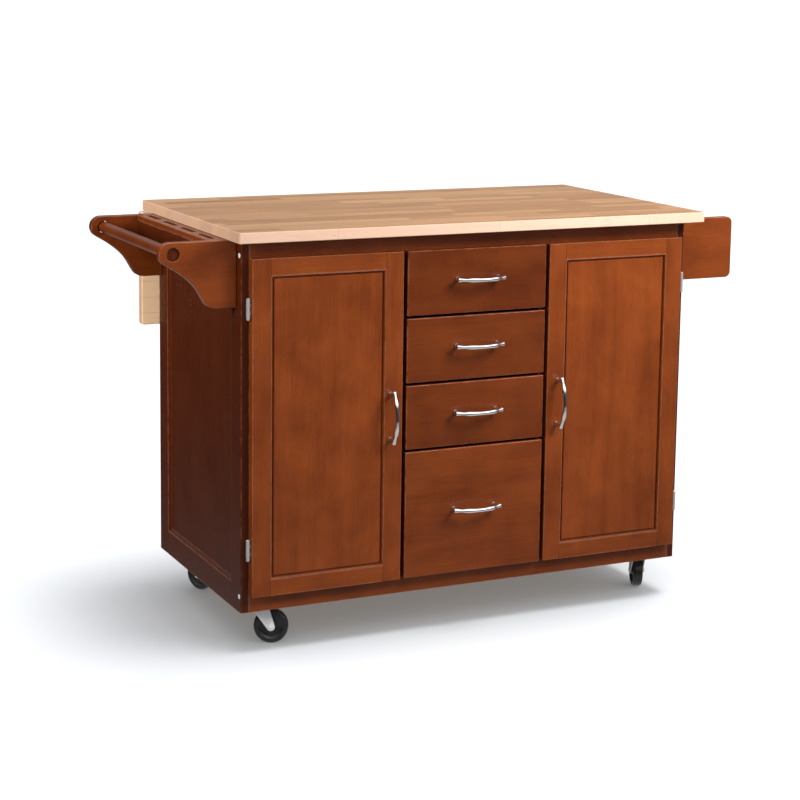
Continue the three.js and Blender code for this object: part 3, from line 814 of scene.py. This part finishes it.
def makeSides():
    s = cabinetSizes
    stile, thick = s["stile"], s["board"]
    for side in ("left", "right"):
        mirror = side == "right"
        # The sides are painted dark to stand for the shade on them.
        rest = {"stain": s["sideStain"], "mirror": mirror}
        bm = bmesh.new()
        r = s["cornerRadius"]
        loop = [(x, y) for x, y in arc((r, r), r, 180, 270, 6)] + [(thick, 0), (thick, stile), (0, stile)]
        outlineBoard(bm, "xy", [loop], 0, boardTop, 0.8, 2)
        addPiece(f"side_{side}_front_stile", bm, "cherry", "cabinet", "z",
                 nodes=(f"side_panel_{side}",), joins=((0, 1, 0),), **rest)
        far = cabinetDepth - stile
        board(f"side_{side}_rear_stile", (0, far, 0), (thick, cabinetDepth, boardTop), grain="z",
              ease=0.9, joins=((0, -1, 0),), **rest)
        board(f"side_{side}_top_rail", (0, stile, boardTop + gap - stile), (thick, far, boardTop),
              grain="y", ease=0.5, joins=((0, 1, 0), (0, -1, 0)), **rest)
        board(f"side_{side}_bottom_rail", (0, stile, 0), (thick, far, stile), grain="y", ease=0.5,
              joins=((0, 1, 0), (0, -1, 0)), **rest)
        bm = bmesh.new()
        mouldedRing(bm, "yz", stile, stile, far, boardTop + gap - stile, s["bevel"], 0)
        addPiece(f"side_{side}_moulding", bm, "cherry", "cabinet", "z", **rest)
        inset = stile + s["bevelWidth"]
        board(f"side_{side}_sunk_panel", (s["sunk"], inset, inset),
              (thick, cabinetDepth - inset, boardTop + gap - inset), grain="z", ease=0.4, **rest)
        # Caps over the screws that hold the front frame.
        for i, z in enumerate(s["capHeights"]):
            bm = bmesh.new()
            lathe(bm, s["cap"], "x", (0, s["capDepth"], z), 24)
            addPiece(f"side_{side}_screw_cap_{i + 1}", bm, "zinc", "cabinet", mirror=mirror)


shelfPin = {
    "stem": [(2.4, -3), (2.4, 8), (2.0, 8.6)], "collar": [(3.8, 0.1), (3.8, 1.1)], "front": 45, "rear": 60,
    "stemDrop": 2.7, "collarDrop": 3.9,
}


def makeShelfPins(side):
    # One pin under each corner of the shelf.
    p = shelfPin
    low, high = span(f"shelf_{side}")
    bm = bmesh.new()
    for x, way in ((low.x, 1), (high.x, -1)):
        for y in (low.y + p["front"], high.y - p["rear"]):
            for form, drop in ((p["stem"], p["stemDrop"]), (p["collar"], p["collarDrop"])):
                lathe(bm, [(r, way * h) for r, h in form], "x", (x, y, low.z - drop), 16)
    addPiece(f"shelf_{side}_pins", bm, "zinc", "cabinet")


def makeCarcass():
    nodeBoard("top_rail", grain="x")
    nodeBoard("base_rail", grain="x", stain=0.05)
    nodeBoard("back_panel", grain="z", ease=0.8, stain=0.1)
    nodeBoard("bottom_panel", "pale", grain="x")
    for side in ("left", "right"):
        nodeBoard(f"shelf_{side}", "pale", grain="x", ease=1.5)
        low, high = span(f"divider_{side}")
        rail, floor = span("base_rail")[1].z + gap, span("bottom_panel")[1].z + gap
        head, behind = span("top_rail")[0].z - gap, span("base_rail")[1].y + gap
        loop = [(low.y, rail), (behind, rail), (behind, floor), (high.y, floor), (high.y, high.z),
                (behind, high.z), (behind, head), (low.y, head)]
        bm = bmesh.new()
        outlineBoard(bm, "yz", [loop], low.x, high.x, 0.6, 1)
        # The dividers are painted dark: painted shade in the gaps beside the drawers.
        addPiece(f"divider_{side}_board", bm, "cherry", "cabinet", "z", nodes=(f"divider_{side}",),
                 stain=0.85)
        makeShelfPins(side)


makeSides()
makeCarcass()
print("cabinet built")

handleSizes = {
    "spacing": 101, "tip": 57, "standOff": 16.8, "crown": 54.0, "steps": 48, "sides": 20,
    "swell": [(0, 4.4), (0.2, 4.5), (0.38, 5.2), (0.5, 5.5), (0.6, 5.2), (0.68, 4.3), (0.74, 3.8),
              (0.8, 3.9), (0.9, 4.7), (0.97, 5.5), (0.99, 5.5), (1, 4.8)],
    "post": [(6.0, 0.0), (6.0, 1.2), (5.2, 2.2), (4.5, 4.5), (4.1, 9.0), (4.0, 15.0), (4.2, 17.5),
             (4.2, 19.5)],
}


def interpolate(table, value):
    for (a, ra), (b, rb) in zip(table, table[1:]):
        if value <= b:
            share = (value - a) / (b - a)
            return ra + (rb - ra) * share
    return table[-1][1]


def handleForm():
    # Bowed bar along Z standing off towards -Y, on two turned posts.
    h = handleSizes
    bm, made = bmesh.new(), bmesh.new()
    side = Vector((1, 0, 0))
    rings = []
    for i in range(h["steps"] + 1):
        t = 0.5 - 0.5 * math.cos(math.pi * i / h["steps"])
        z = -h["tip"] + 2 * h["tip"] * t
        y = -(h["standOff"] * ((1 - t) ** 2 + t * t) + h["crown"] * 2 * t * (1 - t))
        slope = Vector((0, -(2 * (1 - 2 * t)) * (h["crown"] - h["standOff"]), 2 * h["tip"])).normalized()
        out = slope.cross(side)
        radius = interpolate(h["swell"], abs(2 * t - 1))
        ring = []
        for k in range(h["sides"]):
            angle = 2 * math.pi * k / h["sides"]
            spoke = side * radius * math.cos(angle) + out * radius * math.sin(angle)
            ring.append(made.verts.new(Vector((0, y, z)) + spoke))
        rings.append(ring)
    bridge(made, rings)
    made.faces.new(rings[0])
    made.faces.new(rings[-1])
    absorb(bm, made)
    for z in (-h["spacing"] / 2, h["spacing"] / 2):
        lathe(bm, [(r, -d) for r, d in h["post"]], "y", (0, 0, z), 20)
    return bm


def makeHandle(name, node, body, upright):
    low, high = span(node)
    middle = (low + high) / 2
    turn = Matrix.Identity(4) if upright else Matrix.Rotation(math.pi / 2, 4, "Y")
    bm = handleForm()
    place = Matrix.Translation((middle.x, high.y, middle.z)) @ turn
    addPiece(name, bm, "chrome", body, nodes=(node,), place=place)


doorSizes = {
    "stile": 46, "rail": 41, "stick": 4, "fit": 0.05,
    "sticking": [(0, 0), (0.7, 0.0), (1.5, 0.35), (2.6, 1.1), (3.4, 2.2), (3.8, 3.4), (4.0, 5.8),
                 (4.0, 20), (0, 20)],
    "panelBorder": [(0, 6.6), (2.7, 6.6), (3.3, 4.6), (4.1, 3.75), (5.2, 3.5)], "panelBack": 12.5,
}


catchSizes = {
    "case": ((300, 2.5, 752), (344, 16, 764.6)), "bars": ((306, 1.2, 754.5), (306, 1.2, 759.5)),
    "bar": (32, 2.8, 2.5), "strike": ((303, -0.5, 753), (341, 0.5, 763.5)),
    "screws": ((309, 0.5, 758.2), (335, 0.5, 758.2)),
}


def makeCatch(side, body, mirror):
    # Magnetic catch under the top rail, and its strike plate on the door.
    c = catchSizes
    bm = bmesh.new()
    block(bm, *c["case"], 1.0, 2)
    for low in c["bars"]:
        block(bm, low, Vector(low) + Vector(c["bar"]), 0.3, 1)
    addPiece(f"catch_{side}", bm, "rubber", "cabinet", mirror=mirror)
    bm = bmesh.new()
    block(bm, *c["strike"], 0.3, 1)
    for place in c["screws"]:
        screwHead(bm, place, "y", 1, 2.4, 0.6)
    addPiece(f"catch_{side}_strike", bm, "zinc", body, mirror=mirror)


def makeDoors():
    d = doorSizes
    for side in ("left", "right"):
        mirror = side == "right"
        body = f"door_{side}"
        low, high = leftSpan(f"door_frame_{side}", mirror)
        inX, inZ = d["stile"] - d["stick"], d["rail"] - d["stick"]
        rest = {"body": body, "mirror": mirror}
        for end, x0, x1 in (("hinge", low.x, low.x + inX), ("free", high.x - inX, high.x)):
            bm = bmesh.new()
            block(bm, (x0, low.y, low.z), (x1, high.y, high.z), 1.3, 3)
            nodes = (f"door_frame_{side}",) if end == "hinge" else ()
            addPiece(f"door_{side}_{end}_stile", bm, "cherry", grain="z", nodes=nodes,
                     joins=((1 if end == "hinge" else -1, 0, 0),), **rest)
        for end, z0, z1 in (("bottom", low.z, low.z + inZ), ("top", high.z - inZ, high.z)):
            bm = bmesh.new()
            block(bm, (low.x + inX + d["fit"], low.y, z0), (high.x - inX - d["fit"], high.y, z1), 0.35, 1)
            addPiece(f"door_{side}_{end}_rail", bm, "cherry", grain="x", joins=((1, 0, 0), (-1, 0, 0)),
                     **rest)
        bm = bmesh.new()
        mouldedRing(bm, "xz", low.x + inX, low.z + inZ, high.x - inX, high.z - inZ, d["sticking"], low.y)
        addPiece(f"door_{side}_moulding", bm, "cherry", grain="z", stain=0.2, **rest)
        bm = bmesh.new()
        aroundX, aroundZ = d["stile"] + d["fit"], d["rail"] + d["fit"]
        steppedPanel(bm, "xz", low.x + aroundX, low.z + aroundZ, high.x - aroundX, high.z - aroundZ,
                     d["panelBorder"], low.y, d["panelBack"])
        addPiece(f"door_{side}_panel", bm, "cherry", grain="z", nodes=(f"door_panel_{side}",), **rest)
        makeHandle(f"door_{side}_handle", f"door_handle_{side}", body, True)
        handleLow, handleHigh = span(f"door_handle_{side}")
        x = (handleLow.x + handleHigh.x) / 2
        middle = (handleLow.z + handleHigh.z) / 2
        bm = bmesh.new()
        for way in (-0.5, 0.5):
            screwHead(bm, (x, high.y, middle + handleSizes["spacing"] * way), "y")
        addPiece(f"door_{side}_handle_screws", bm, "zinc", body)
        makeCatch(side, body, mirror)


hingeSizes = {
    "radius": 4.0, "knuckles": 5, "seam": 0.22, "leaf": 1.3, "pin": 1.8, "endRoom": 3, "leafReach": 18.3,
    "finial": [(2.6, 0), (4.3, 0.2), (4.3, 1.0), (2.4, 1.5), (2.7, 2.1), (1.9, 2.9), (0, 3.0)],
}


def makeDoorHinges():
    h = hingeSizes
    for side in ("left", "right"):
        mirror = side == "right"
        for level in ("lower", "upper"):
            node = f"door_hinge_{side}_{level}"
            low, high = leftSpan(node, mirror)
            pin = ((low.x + high.x) / 2, low.y + h["radius"])
            bottom, top = low.z + h["endRoom"], high.z - h["endRoom"]
            pitch = (top - bottom) / h["knuckles"]
            forms = {"cabinet": bmesh.new(), f"door_{side}": bmesh.new()}
            for i in range(h["knuckles"]):
                z0, z1 = bottom + i * pitch + h["seam"] / 2, bottom + (i + 1) * pitch - h["seam"] / 2
                body = "cabinet" if i % 2 == 0 else f"door_{side}"
                lathe(forms[body], rodProfile(h["radius"], z0, z1, 0.35), "z", (pin[0], pin[1], 0), 24)
                if body == "cabinet":
                    low, high = (pin[0] - h["leaf"] / 2, pin[1], z0), (pin[0] + h["leaf"] / 2, -0.4, z1)
                else:
                    low, high = (pin[0], pin[1] - 0.6, z0), (h["leafReach"], pin[1] + 0.6, z1)
                block(forms[body], low, high, 0.2, 1)
            # Pin with a small turned finial at each end.
            for start, way in ((top, 1), (bottom, -1)):
                finial = [(r, start + way * z) for r, z in h["finial"]]
                lathe(forms["cabinet"], finial, "z", (pin[0], pin[1], 0), 24)
            lathe(forms["cabinet"], [(h["pin"], bottom), (h["pin"], top)], "z", (pin[0], pin[1], 0), 12)
            block(forms["cabinet"], (pin[0] - 0.65, -1.7, bottom), (17.6, -0.35, top), 0.3, 1)
            block(forms[f"door_{side}"], (17.2, -10.5, bottom), (18.4, -3, top), 0.3, 1)
            addPiece(f"{node}_fixed", forms["cabinet"], "nickel", "cabinet", nodes=(node,), mirror=mirror)
            addPiece(f"{node}_moving", forms[f"door_{side}"], "nickel", f"door_{side}", mirror=mirror)


makeDoors()
makeDoorHinges()
print("doors hung")

drawerSizes = {
    "ease": 2.4, "wall": 12, "stains": (0.5, 0.44, 0.4, 0.2), "runnerLift": 30, "runnerHeight": 17,
    "runner": 1.2, "cabinetLip": 8.2, "boxLip": 6.4, "boxStep": 2.4, "cabinetRun": (22, 470),
    "screws": (60, 250, 430),
}


def runnerChannel(bm, web, lips, run, heights):
    # Upright web with a lip along its top and one along its bottom.
    t = drawerSizes["runner"]
    (y0, y1), (bottom, top) = run, heights
    for (x0, x1), low, high in ((web, bottom, top), (lips, top - t, top), (lips, bottom, bottom + t)):
        block(bm, (x0, y0, low), (x1, y1, high), 0.2, 1)


def makeDrawers():
    d = drawerSizes
    for i in range(1, 5):
        body = f"drawer_{i}"
        low, high = span(f"drawer_front_{i}")
        bm = bmesh.new()
        block(bm, low, high, d["ease"], 4)
        addPiece(f"drawer_{i}_front", bm, "cherry", body, "x", nodes=(f"drawer_front_{i}",),
                 stain=d["stains"][i - 1])
        makeHandle(f"drawer_{i}_handle", f"drawer_handle_{i}", body, False)
        low, high = span(f"drawer_box_{i}")
        wall = d["wall"]
        x0, x1, y0, y1 = low.x + wall, high.x - wall, low.y + wall, high.y - wall
        for part, near, far, grain, ease, steps in (
                ("left", (low.x, low.y, low.z), (x0, high.y, high.z), "y", 0.8, 2),
                ("right", (x1, low.y, low.z), (high.x, high.y, high.z), "y", 0.8, 2),
                ("front", (x0, low.y, low.z), (x1, y0, high.z), "x", 0.8, 2),
                ("back", (x0, y1, low.z), (x1, high.y, high.z), "x", 0.8, 2),
                ("bottom", (x0, y0, low.z + 2), (x1, y1, low.z + 6), "x", 0.3, 1)):
            board(f"drawer_{i}_box_{part}", near, far, "pale", body, grain, ease, steps,
                  nodes=(f"drawer_box_{i}",) if part == "left" else ())
        # Side runners: a channel on the divider and a smaller one on the box.
        middle = low.z + d["runnerLift"]
        top, bottom = middle + d["runnerHeight"] / 2, middle - d["runnerHeight"] / 2
        inner, face, t = span("divider_left")[1].x, low.x, d["runner"]
        boxTop, boxBottom = top - d["boxStep"], bottom + d["boxStep"]
        for side in ("left", "right"):
            mirror = side == "right"
            bm = bmesh.new()
            runnerChannel(bm, (inner + 0.1, inner + 0.1 + t), (inner + t, inner + d["cabinetLip"]),
                          d["cabinetRun"], (bottom, top))
            for y in d["screws"]:
                screwHead(bm, (inner + 0.1 + t, y, middle), "x", 1, 3.0, 1.0)
            addPiece(f"drawer_{i}_{side}_cabinet_runner", bm, "zinc", "cabinet", mirror=mirror)
            bm = bmesh.new()
            runnerChannel(bm, (face - 0.1 - t, face - 0.1), (face - d["boxLip"], face - t),
                          (6, high.y - 4), (boxBottom, boxTop))
            addPiece(f"drawer_{i}_{side}_box_runner", bm, "zinc", body, mirror=mirror)


makeDrawers()
print("drawers built")

rackSizes = {
    "drop": 145, "noseRadius": 24.7, "noseX": -147, "hole": 14, "ease": 2.6, "bar": 12.8,
    "slotLength": 84, "slotWidth": 11, "slotInset": 20, "slots": 4, "spiceCorner": 14,
    "stains": {"front": 0.1, "rear": 0.5}, "noseEnd": 240, "neckPull": 50,
    "neck": [(-97, 722), (-84, 700)], "toe": (-73, 681), "heel": (-64, -46),
    "barSeat": (7, -1),
}


def bezier(points, steps):
    made = []
    for i in range(1, steps + 1):
        t = i / steps
        level = [Vector(p) for p in points]
        while len(level) > 1:
            level = [a.lerp(b, t) for a, b in zip(level, level[1:])]
        made.append((level[0].x, level[0].y))
    return made


def scrollLoop():
    r = rackSizes
    noseX, radius = r["noseX"], r["noseRadius"]
    noseZ, bottom = boardTop - radius, boardTop + gap - r["drop"]
    leave = math.radians(r["noseEnd"])
    start = (noseX + radius * math.cos(leave), noseZ + radius * math.sin(leave))
    way = (-math.sin(leave), math.cos(leave))
    loop = [(-gap, bottom), (-gap, boardTop)]
    loop += arc((noseX, noseZ), radius, 90, r["noseEnd"], 24)
    pulled = (start[0] + way[0] * r["neckPull"], start[1] + way[1] * r["neckPull"])
    loop += bezier([start, pulled] + r["neck"], 18) + [r["toe"]]
    loop += bezier([r["toe"]] + [(x, bottom) for x in r["heel"]], 8)
    seat = (noseX + r["barSeat"][0], noseZ + r["barSeat"][1])
    hole = list(reversed(arc(seat, r["hole"], 0, 360 - 360 / 32, 31)))
    return [loop, hole]


def makeRacks():
    r = rackSizes
    for end in ("front", "rear"):
        low, high = span(f"towel_bracket_{end}")
        bm = bmesh.new()
        outlineBoard(bm, "xz", scrollLoop(), low.y, high.y, r["ease"], 4)
        # The rack ends are painted darker, the rear one more, as painted shade under the block.
        addPiece(f"towel_rack_{end}_end", bm, "cherry", "cabinet", "x", nodes=(f"towel_bracket_{end}",),
                 stain=r["stains"][end])
    low, high = span("towel_bar")
    centre = (low + high) / 2
    bm = bmesh.new()
    lathe(bm, rodProfile(r["bar"], low.y, high.y, 1.6), "y", (centre.x, 0, centre.z), 40)
    addPiece("towel_rack_bar", bm, "cherry", "cabinet", "y", nodes=("towel_bar",), stain=0.5)
    low, high = span("knife_strip")
    loops = [[(low.x, low.y), (high.x, low.y), (high.x, high.y), (low.x, high.y)]]
    pitch = (high.y - low.y) / r["slots"]
    x = low.x + r["slotInset"]
    for i in range(r["slots"]):
        y = low.y + pitch * (i + 0.5)
        slot = roundedLoop(x - r["slotWidth"] / 2, y - r["slotLength"] / 2, x + r["slotWidth"] / 2,
                           y + r["slotLength"] / 2, r["slotWidth"] / 2 - 0.05, 8)
        loops.append(list(reversed(slot)))
    bm = bmesh.new()
    outlineBoard(bm, "xy", loops, low.z, high.z, 1.2, 3)
    addPiece("knife_slot_strip", bm, "cherry", "cabinet", "y", nodes=("knife_strip",), stain=0.4)
    # The knife guard is painted very dark as painted shade under the block's overhang.
    nodeBoard("knife_guard", grain="y", ease=1.5, stain=0.85)
    for end in ("front", "rear"):
        low, high = span(f"spice_end_{end}")
        c = r["spiceCorner"]
        loop = [(low.x, high.z), (low.x, low.z)] + arc((high.x - c, low.z + c), c, -90, 0, 10) \
            + arc((high.x - c, high.z - c), c, 0, 90, 10)
        bm = bmesh.new()
        outlineBoard(bm, "xz", [loop], low.y, high.y, r["ease"], 4)
        addPiece(f"spice_rack_{end}_end", bm, "cherry", "cabinet", "x", nodes=(f"spice_end_{end}",))
    nodeBoard("spice_shelf", grain="y", ease=1.2)
    nodeBoard("spice_rail", grain="y", ease=2.0)


makeRacks()
print("racks built")

topSizes = {"corner": 6, "ease": 2.2, "leafEase": 2.2}


def makeTops():
    t = topSizes
    low, high = span("butcher_block_top")
    bm = bmesh.new()
    outlineBoard(bm, "xy", [roundedLoop(low.x, low.y, high.x, high.y, t["corner"])], low.z, high.z,
                 t["ease"], 4)
    addPiece("butcher_block", bm, "block", "cabinet", "x", nodes=("butcher_block_top",))
    low, high = span("drop_leaf")
    bm = bmesh.new()
    outlineBoard(bm, "xz", [roundedLoop(low.x, low.z, high.x, high.z, t["corner"])], low.y, high.y,
                 t["leafEase"], 4)
    addPiece("drop_leaf_board", bm, "block", "leaf", "xUpright", nodes=("drop_leaf",))


leafHingeSizes = {
    "width": 60, "plate": 2, "knuckle": 4, "reach": 42, "corner": 4, "pin": 1.8,
    "screws": ((-20, -11), (20, -11), (0, -30)),
}


def makeLeafHinges():
    h = leafHingeSizes
    for side in ("left", "right"):
        fixedLow, fixedHigh = span(f"leaf_hinge_fixed_{side}")
        x = (fixedLow.x + fixedHigh.x) / 2
        half, third, r = h["width"] / 2, h["width"] / 6, h["knuckle"]
        pinY, pinZ = fixedHigh.y - r, fixedLow.z + r
        under, clearY = fixedHigh.z, fixedHigh.y - 2 * r - 0.6
        bm = bmesh.new()
        loop = roundedLoop(x - half, clearY - h["reach"], x + half, clearY, h["corner"])
        outlineBoard(bm, "xy", [loop], under - h["plate"], under, 0.4, 1)
        block(bm, (x - third, clearY - 2, under - h["plate"]), (x + third, pinY + 1, under), 0.3, 1)
        block(bm, (x - third, pinY - 2, pinZ), (x + third, pinY + 1, under), 0.3, 1)
        lathe(bm, rodProfile(r, x - third, x + third, 0.4), "x", (0, pinY, pinZ), 24)
        lathe(bm, rodProfile(h["pin"], x - half - 1, x + half + 1, 0.4), "x", (0, pinY, pinZ), 16)
        for dx, dy in h["screws"]:
            screwHead(bm, (x + dx, clearY + dy, under - h["plate"]), "z", -1, 3.4, 1.0)
        addPiece(f"leaf_hinge_{side}_fixed_half", bm, "zinc", "cabinet",
                 nodes=(f"leaf_hinge_fixed_{side}",))
        movingHigh = span(f"leaf_hinge_moving_{side}")[1]
        onLeaf, clearZ = movingHigh.y, pinZ - r - 0.6
        bm = bmesh.new()
        loop = roundedLoop(x - half, clearZ - h["reach"], x + half, clearZ, h["corner"])
        outlineBoard(bm, "xz", [loop], onLeaf - h["plate"], onLeaf, 0.4, 1)
        for x0, x1 in ((x - half, x - third - 0.3), (x + third + 0.3, x + half)):
            block(bm, (x0, onLeaf - h["plate"], clearZ - 2), (x1, onLeaf, pinZ), 0.3, 1)
            block(bm, (x0, pinY, pinZ - 2), (x1, onLeaf, pinZ), 0.3, 1)
            lathe(bm, rodProfile(r, x0, x1, 0.4), "x", (0, pinY, pinZ), 24)
        for dx, dz in h["screws"]:
            screwHead(bm, (x + dx, onLeaf - h["plate"], clearZ + dz), "y", -1, 3.4, 1.0)
        addPiece(f"leaf_hinge_{side}_moving_half", bm, "zinc", "leaf",
                 nodes=(f"leaf_hinge_moving_{side}",))


staySizes = {
    "width": 16, "thick": 3, "apart": 0.5, "pinBack": 13, "pinDrop": 150, "link": 106.46, "hole": 2.7,
    "ear": 8, "earPlate": 2.5, "rivet": 2.5,
}


def makeStays():
    s = staySizes
    leafHinge = span("leaf_hinge_fixed_left")
    pinY = leafHinge[1].y - leafHingeSizes["knuckle"] - s["pinBack"]
    pinZ = leafHinge[0].z + leafHingeSizes["knuckle"] - s["pinDrop"]
    angle = math.atan2(-s["pinDrop"], -s["pinBack"])
    endY, endZ = pinY + s["link"] * math.cos(angle), pinZ + s["link"] * math.sin(angle)
    degrees, half = math.degrees(angle), s["width"] / 2
    loop = arc((endY, endZ), half, degrees - 90, degrees + 90, 14) \
        + arc((pinY, pinZ), half, degrees + 90, degrees + 270, 14)
    holes = [list(reversed(arc((y, z), s["hole"], 0, 345, 23))) for y, z in ((pinY, pinZ), (endY, endZ))]
    backFace, leafFace = span("back_panel")[1].y, span("drop_leaf")[0].y
    for side in ("left", "right"):
        mirror = side == "right"
        x = span("stay_cabinet_link_left")[0].x
        bm = bmesh.new()
        outlineBoard(bm, "yz", [loop] + holes, x, x + s["thick"], 0.5, 2)
        # Rivet at the elbow.
        shank = [(s["rivet"], -0.5), (s["rivet"], 7.0)]
        for profile, sides in (([(4.6, -0.1), (4.6, -0.9), (3.4, -1.7), (0, -2.0)], 20), (shank, 16),
                               ([(4.6, 6.7), (4.6, 7.4), (3.4, 8.2), (0, 8.5)], 20)):
            lathe(bm, profile, "x", (x, endY, endZ), sides)
        addPiece(f"stay_{side}_cabinet_link", bm, "zinc", f"cabinet_stay_{side}",
                 nodes=(f"stay_cabinet_link_{side}",), mirror=mirror)
        second = x + s["thick"] + s["apart"]
        bm = bmesh.new()
        outlineBoard(bm, "yz", [loop] + holes, second, second + s["thick"], 0.5, 2)
        addPiece(f"stay_{side}_leaf_link", bm, "zinc", f"leaf_stay_{side}",
                 nodes=(f"stay_leaf_link_{side}",), mirror=mirror)
        # Ear on the cabinet's back, outside the links.
        bm = bmesh.new()
        ear = [(backFace, pinZ - 17)] + arc((pinY, pinZ), s["ear"], -60, 90, 12) + [(backFace, pinZ + 17)]
        outlineBoard(bm, "yz", [ear], x - 3.1, x - 0.6, 0.4, 1)
        outlineBoard(bm, "xz", [roundedLoop(x - 27, pinZ - 19, x - 0.6, pinZ + 19, 4)],
                     backFace + 0.1, backFace + 0.1 + s["earPlate"], 0.4, 1)
        for dz in (-11, 11):
            screwHead(bm, (x - 16, backFace + 2.6, pinZ + dz), "y")
        lathe(bm, [(s["rivet"], -3.1), (s["rivet"], 3.2)], "x", (x, pinY, pinZ), 16)
        lathe(bm, [(4.4, -3.1), (4.4, -4.1), (3.2, -4.9), (0, -5.2)], "x", (x, pinY, pinZ), 20)
        addPiece(f"stay_{side}_cabinet_ear", bm, "zinc", "cabinet", mirror=mirror)
        # Ear on the leaf, inside the links.
        bm = bmesh.new()
        inner = second + s["thick"] + 0.6
        ear = arc((pinY, pinZ), s["ear"], 90, 240, 12)
        ear = [(leafFace - 0.2, pinZ + 12)] + ear + [(leafFace - 0.2, pinZ - 14)]
        outlineBoard(bm, "yz", [ear], inner, inner + s["earPlate"], 0.4, 1)
        outlineBoard(bm, "xz", [roundedLoop(inner, pinZ - 16, inner + 26, pinZ + 14, 4)],
                     leafFace - 2.6, leafFace - 0.1, 0.4, 1)
        for dz in (-9, 8):
            screwHead(bm, (inner + 16, leafFace - 2.6, pinZ + dz), "y", -1)
        lathe(bm, [(s["rivet"], -3.2), (s["rivet"], 3.0)], "x", (inner, pinY, pinZ), 16)
        lathe(bm, [(4.4, 2.5), (4.4, 3.5), (3.2, 4.3), (0, 4.6)], "x", (inner, pinY, pinZ), 20)
        addPiece(f"stay_{side}_leaf_ear", bm, "zinc", "leaf", mirror=mirror)


makeTops()
makeLeafHinges()
makeStays()
print("block, leaf and stays built")

casterSizes = {
    "trail": 28, "axle": -50, "width": 22, "forkInner": 13, "forkPlate": 2.5,
    "plate": (31, 29), "plateCorner": 7, "plateThick": 2.6, "screws": (23, 21),
    "spots": {"front_left": (62, 55, -24.75), "front_right": (-62, 55, 68),
              "rear_left": (62, -55, -62), "rear_right": (-62, -55, 20)},
}


def wheelProfile():
    half = casterSizes["width"] / 2
    side = [(4.5, half - 0.2), (9.2, half - 0.2), (10.2, half - 1.0), (12, half - 3.6), (20, half - 4.0),
            (24.6, half - 3.4), (26.4, half - 1.6), (27.6, half - 0.3), (29.0, half), (34, half),
            (36.0, half - 0.8), (37.3, half - 2.4), (38, half - 5)]
    return side + [(r, -h) for r, h in reversed(side)] + [side[0]]


def makeCasters():
    c = casterSizes
    floorUnderside = span("bottom_panel")[0].z
    for corner, (x, y, degrees) in c["spots"].items():
        x, y = x % cabinetWidth, y % cabinetDepth
        place = Matrix.Translation((x, y, 0)) @ Matrix.Rotation(math.radians(degrees), 4, "Z")
        bm = bmesh.new()
        # Plate under the cabinet's floor, with the upper race and four screws.
        (halfX, halfY), under = c["plate"], floorUnderside - c["plateThick"]
        loop = roundedLoop(x - halfX, y - halfY, x + halfX, y + halfY, c["plateCorner"])
        outlineBoard(bm, "xy", [loop], under, floorUnderside - 0.2, 0.5, 2)
        for wayX in (-1, 1):
            for wayY in (-1, 1):
                spot = (x + wayX * c["screws"][0], y + wayY * c["screws"][1], under)
                screwHead(bm, spot, "z", -1, 3.9, 1.5)
        lathe(bm, [(21, 0), (21, -1.2), (18.5, -3.0), (15.6, -3.3)], "z", (x, y, floorUnderside - 2.4), 36)
        addPiece(f"caster_{corner}_plate", bm, "zinc", "cabinet")
        bm = bmesh.new()
        leg = [(22, 2.4), (-20, 2.4)] + [(-20, 1), (c["trail"] - 8.6, c["axle"] - 3)] \
            + arc((c["trail"], c["axle"]), 9, 201, 378, 16)
        for way in (-1, 1):
            inner = c["forkInner"] * way
            outer = inner + c["forkPlate"] * way
            outlineBoard(bm, "xz", [leg], min(inner, outer), max(inner, outer), 0.6, 2)
        outlineBoard(bm, "xy", [roundedLoop(-20, -15.5, 22, 15.5, 3)], 0.5, 3.0, 0.6, 2)
        lathe(bm, [(18.5, 2.6), (19.6, 3.6), (19.6, 5.4), (17.2, 7.8), (8, 8.2)], "z", (0, 0, 0), 36)
        # Axle bolt: shank, round head, washer, nut and the bolt's end.
        axle = (c["trail"], 0, c["axle"])
        for profile, sides in ((rodProfile(3.9, -16.6, 16.6, 0.5), 20),
                               ([(6.4, 15.4), (6.4, 16.6), (5.2, 17.3), (0, 17.5)], 24),
                               ([(8.4, -15.4), (8.4, -16.2), (7.6, -16.5)], 28),
                               ([(5.9, -16.4), (5.9, -19.2), (5.2, -19.7)], 6),
                               ([(3.4, -16.4), (3.4, -20.0), (2.6, -20.4)], 16)):
            lathe(bm, profile, "y", axle, sides)
        addPiece(f"caster_{corner}_fork", bm, "zinc", f"caster_{corner}",
                 nodes=(f"caster_fork_{corner}",), place=place)
        bm = bmesh.new()
        lathe(bm, wheelProfile(), "y", axle, 56)
        addPiece(f"caster_{corner}_wheel", bm, "rubber", f"wheel_{corner}",
                 nodes=(f"caster_wheel_{corner}",), place=place)


makeCasters()
print("casters built")


def shareLamps():
    # The lamps shape the cart alone, and the overhead light alone throws its shadow on the floor.
    cart = bpy.data.collections.new("cart pieces")
    ground = bpy.data.collections.new("ground")
    for thing in bpy.context.scene.objects:
        if thing.type == "MESH":
            (ground if thing.name == "floor" else cart).objects.link(thing)
    for name in lamps:
        bpy.data.objects[name].light_linking.receiver_collection = cart
    bpy.data.objects["overhead"].light_linking.receiver_collection = ground


shareLamps()
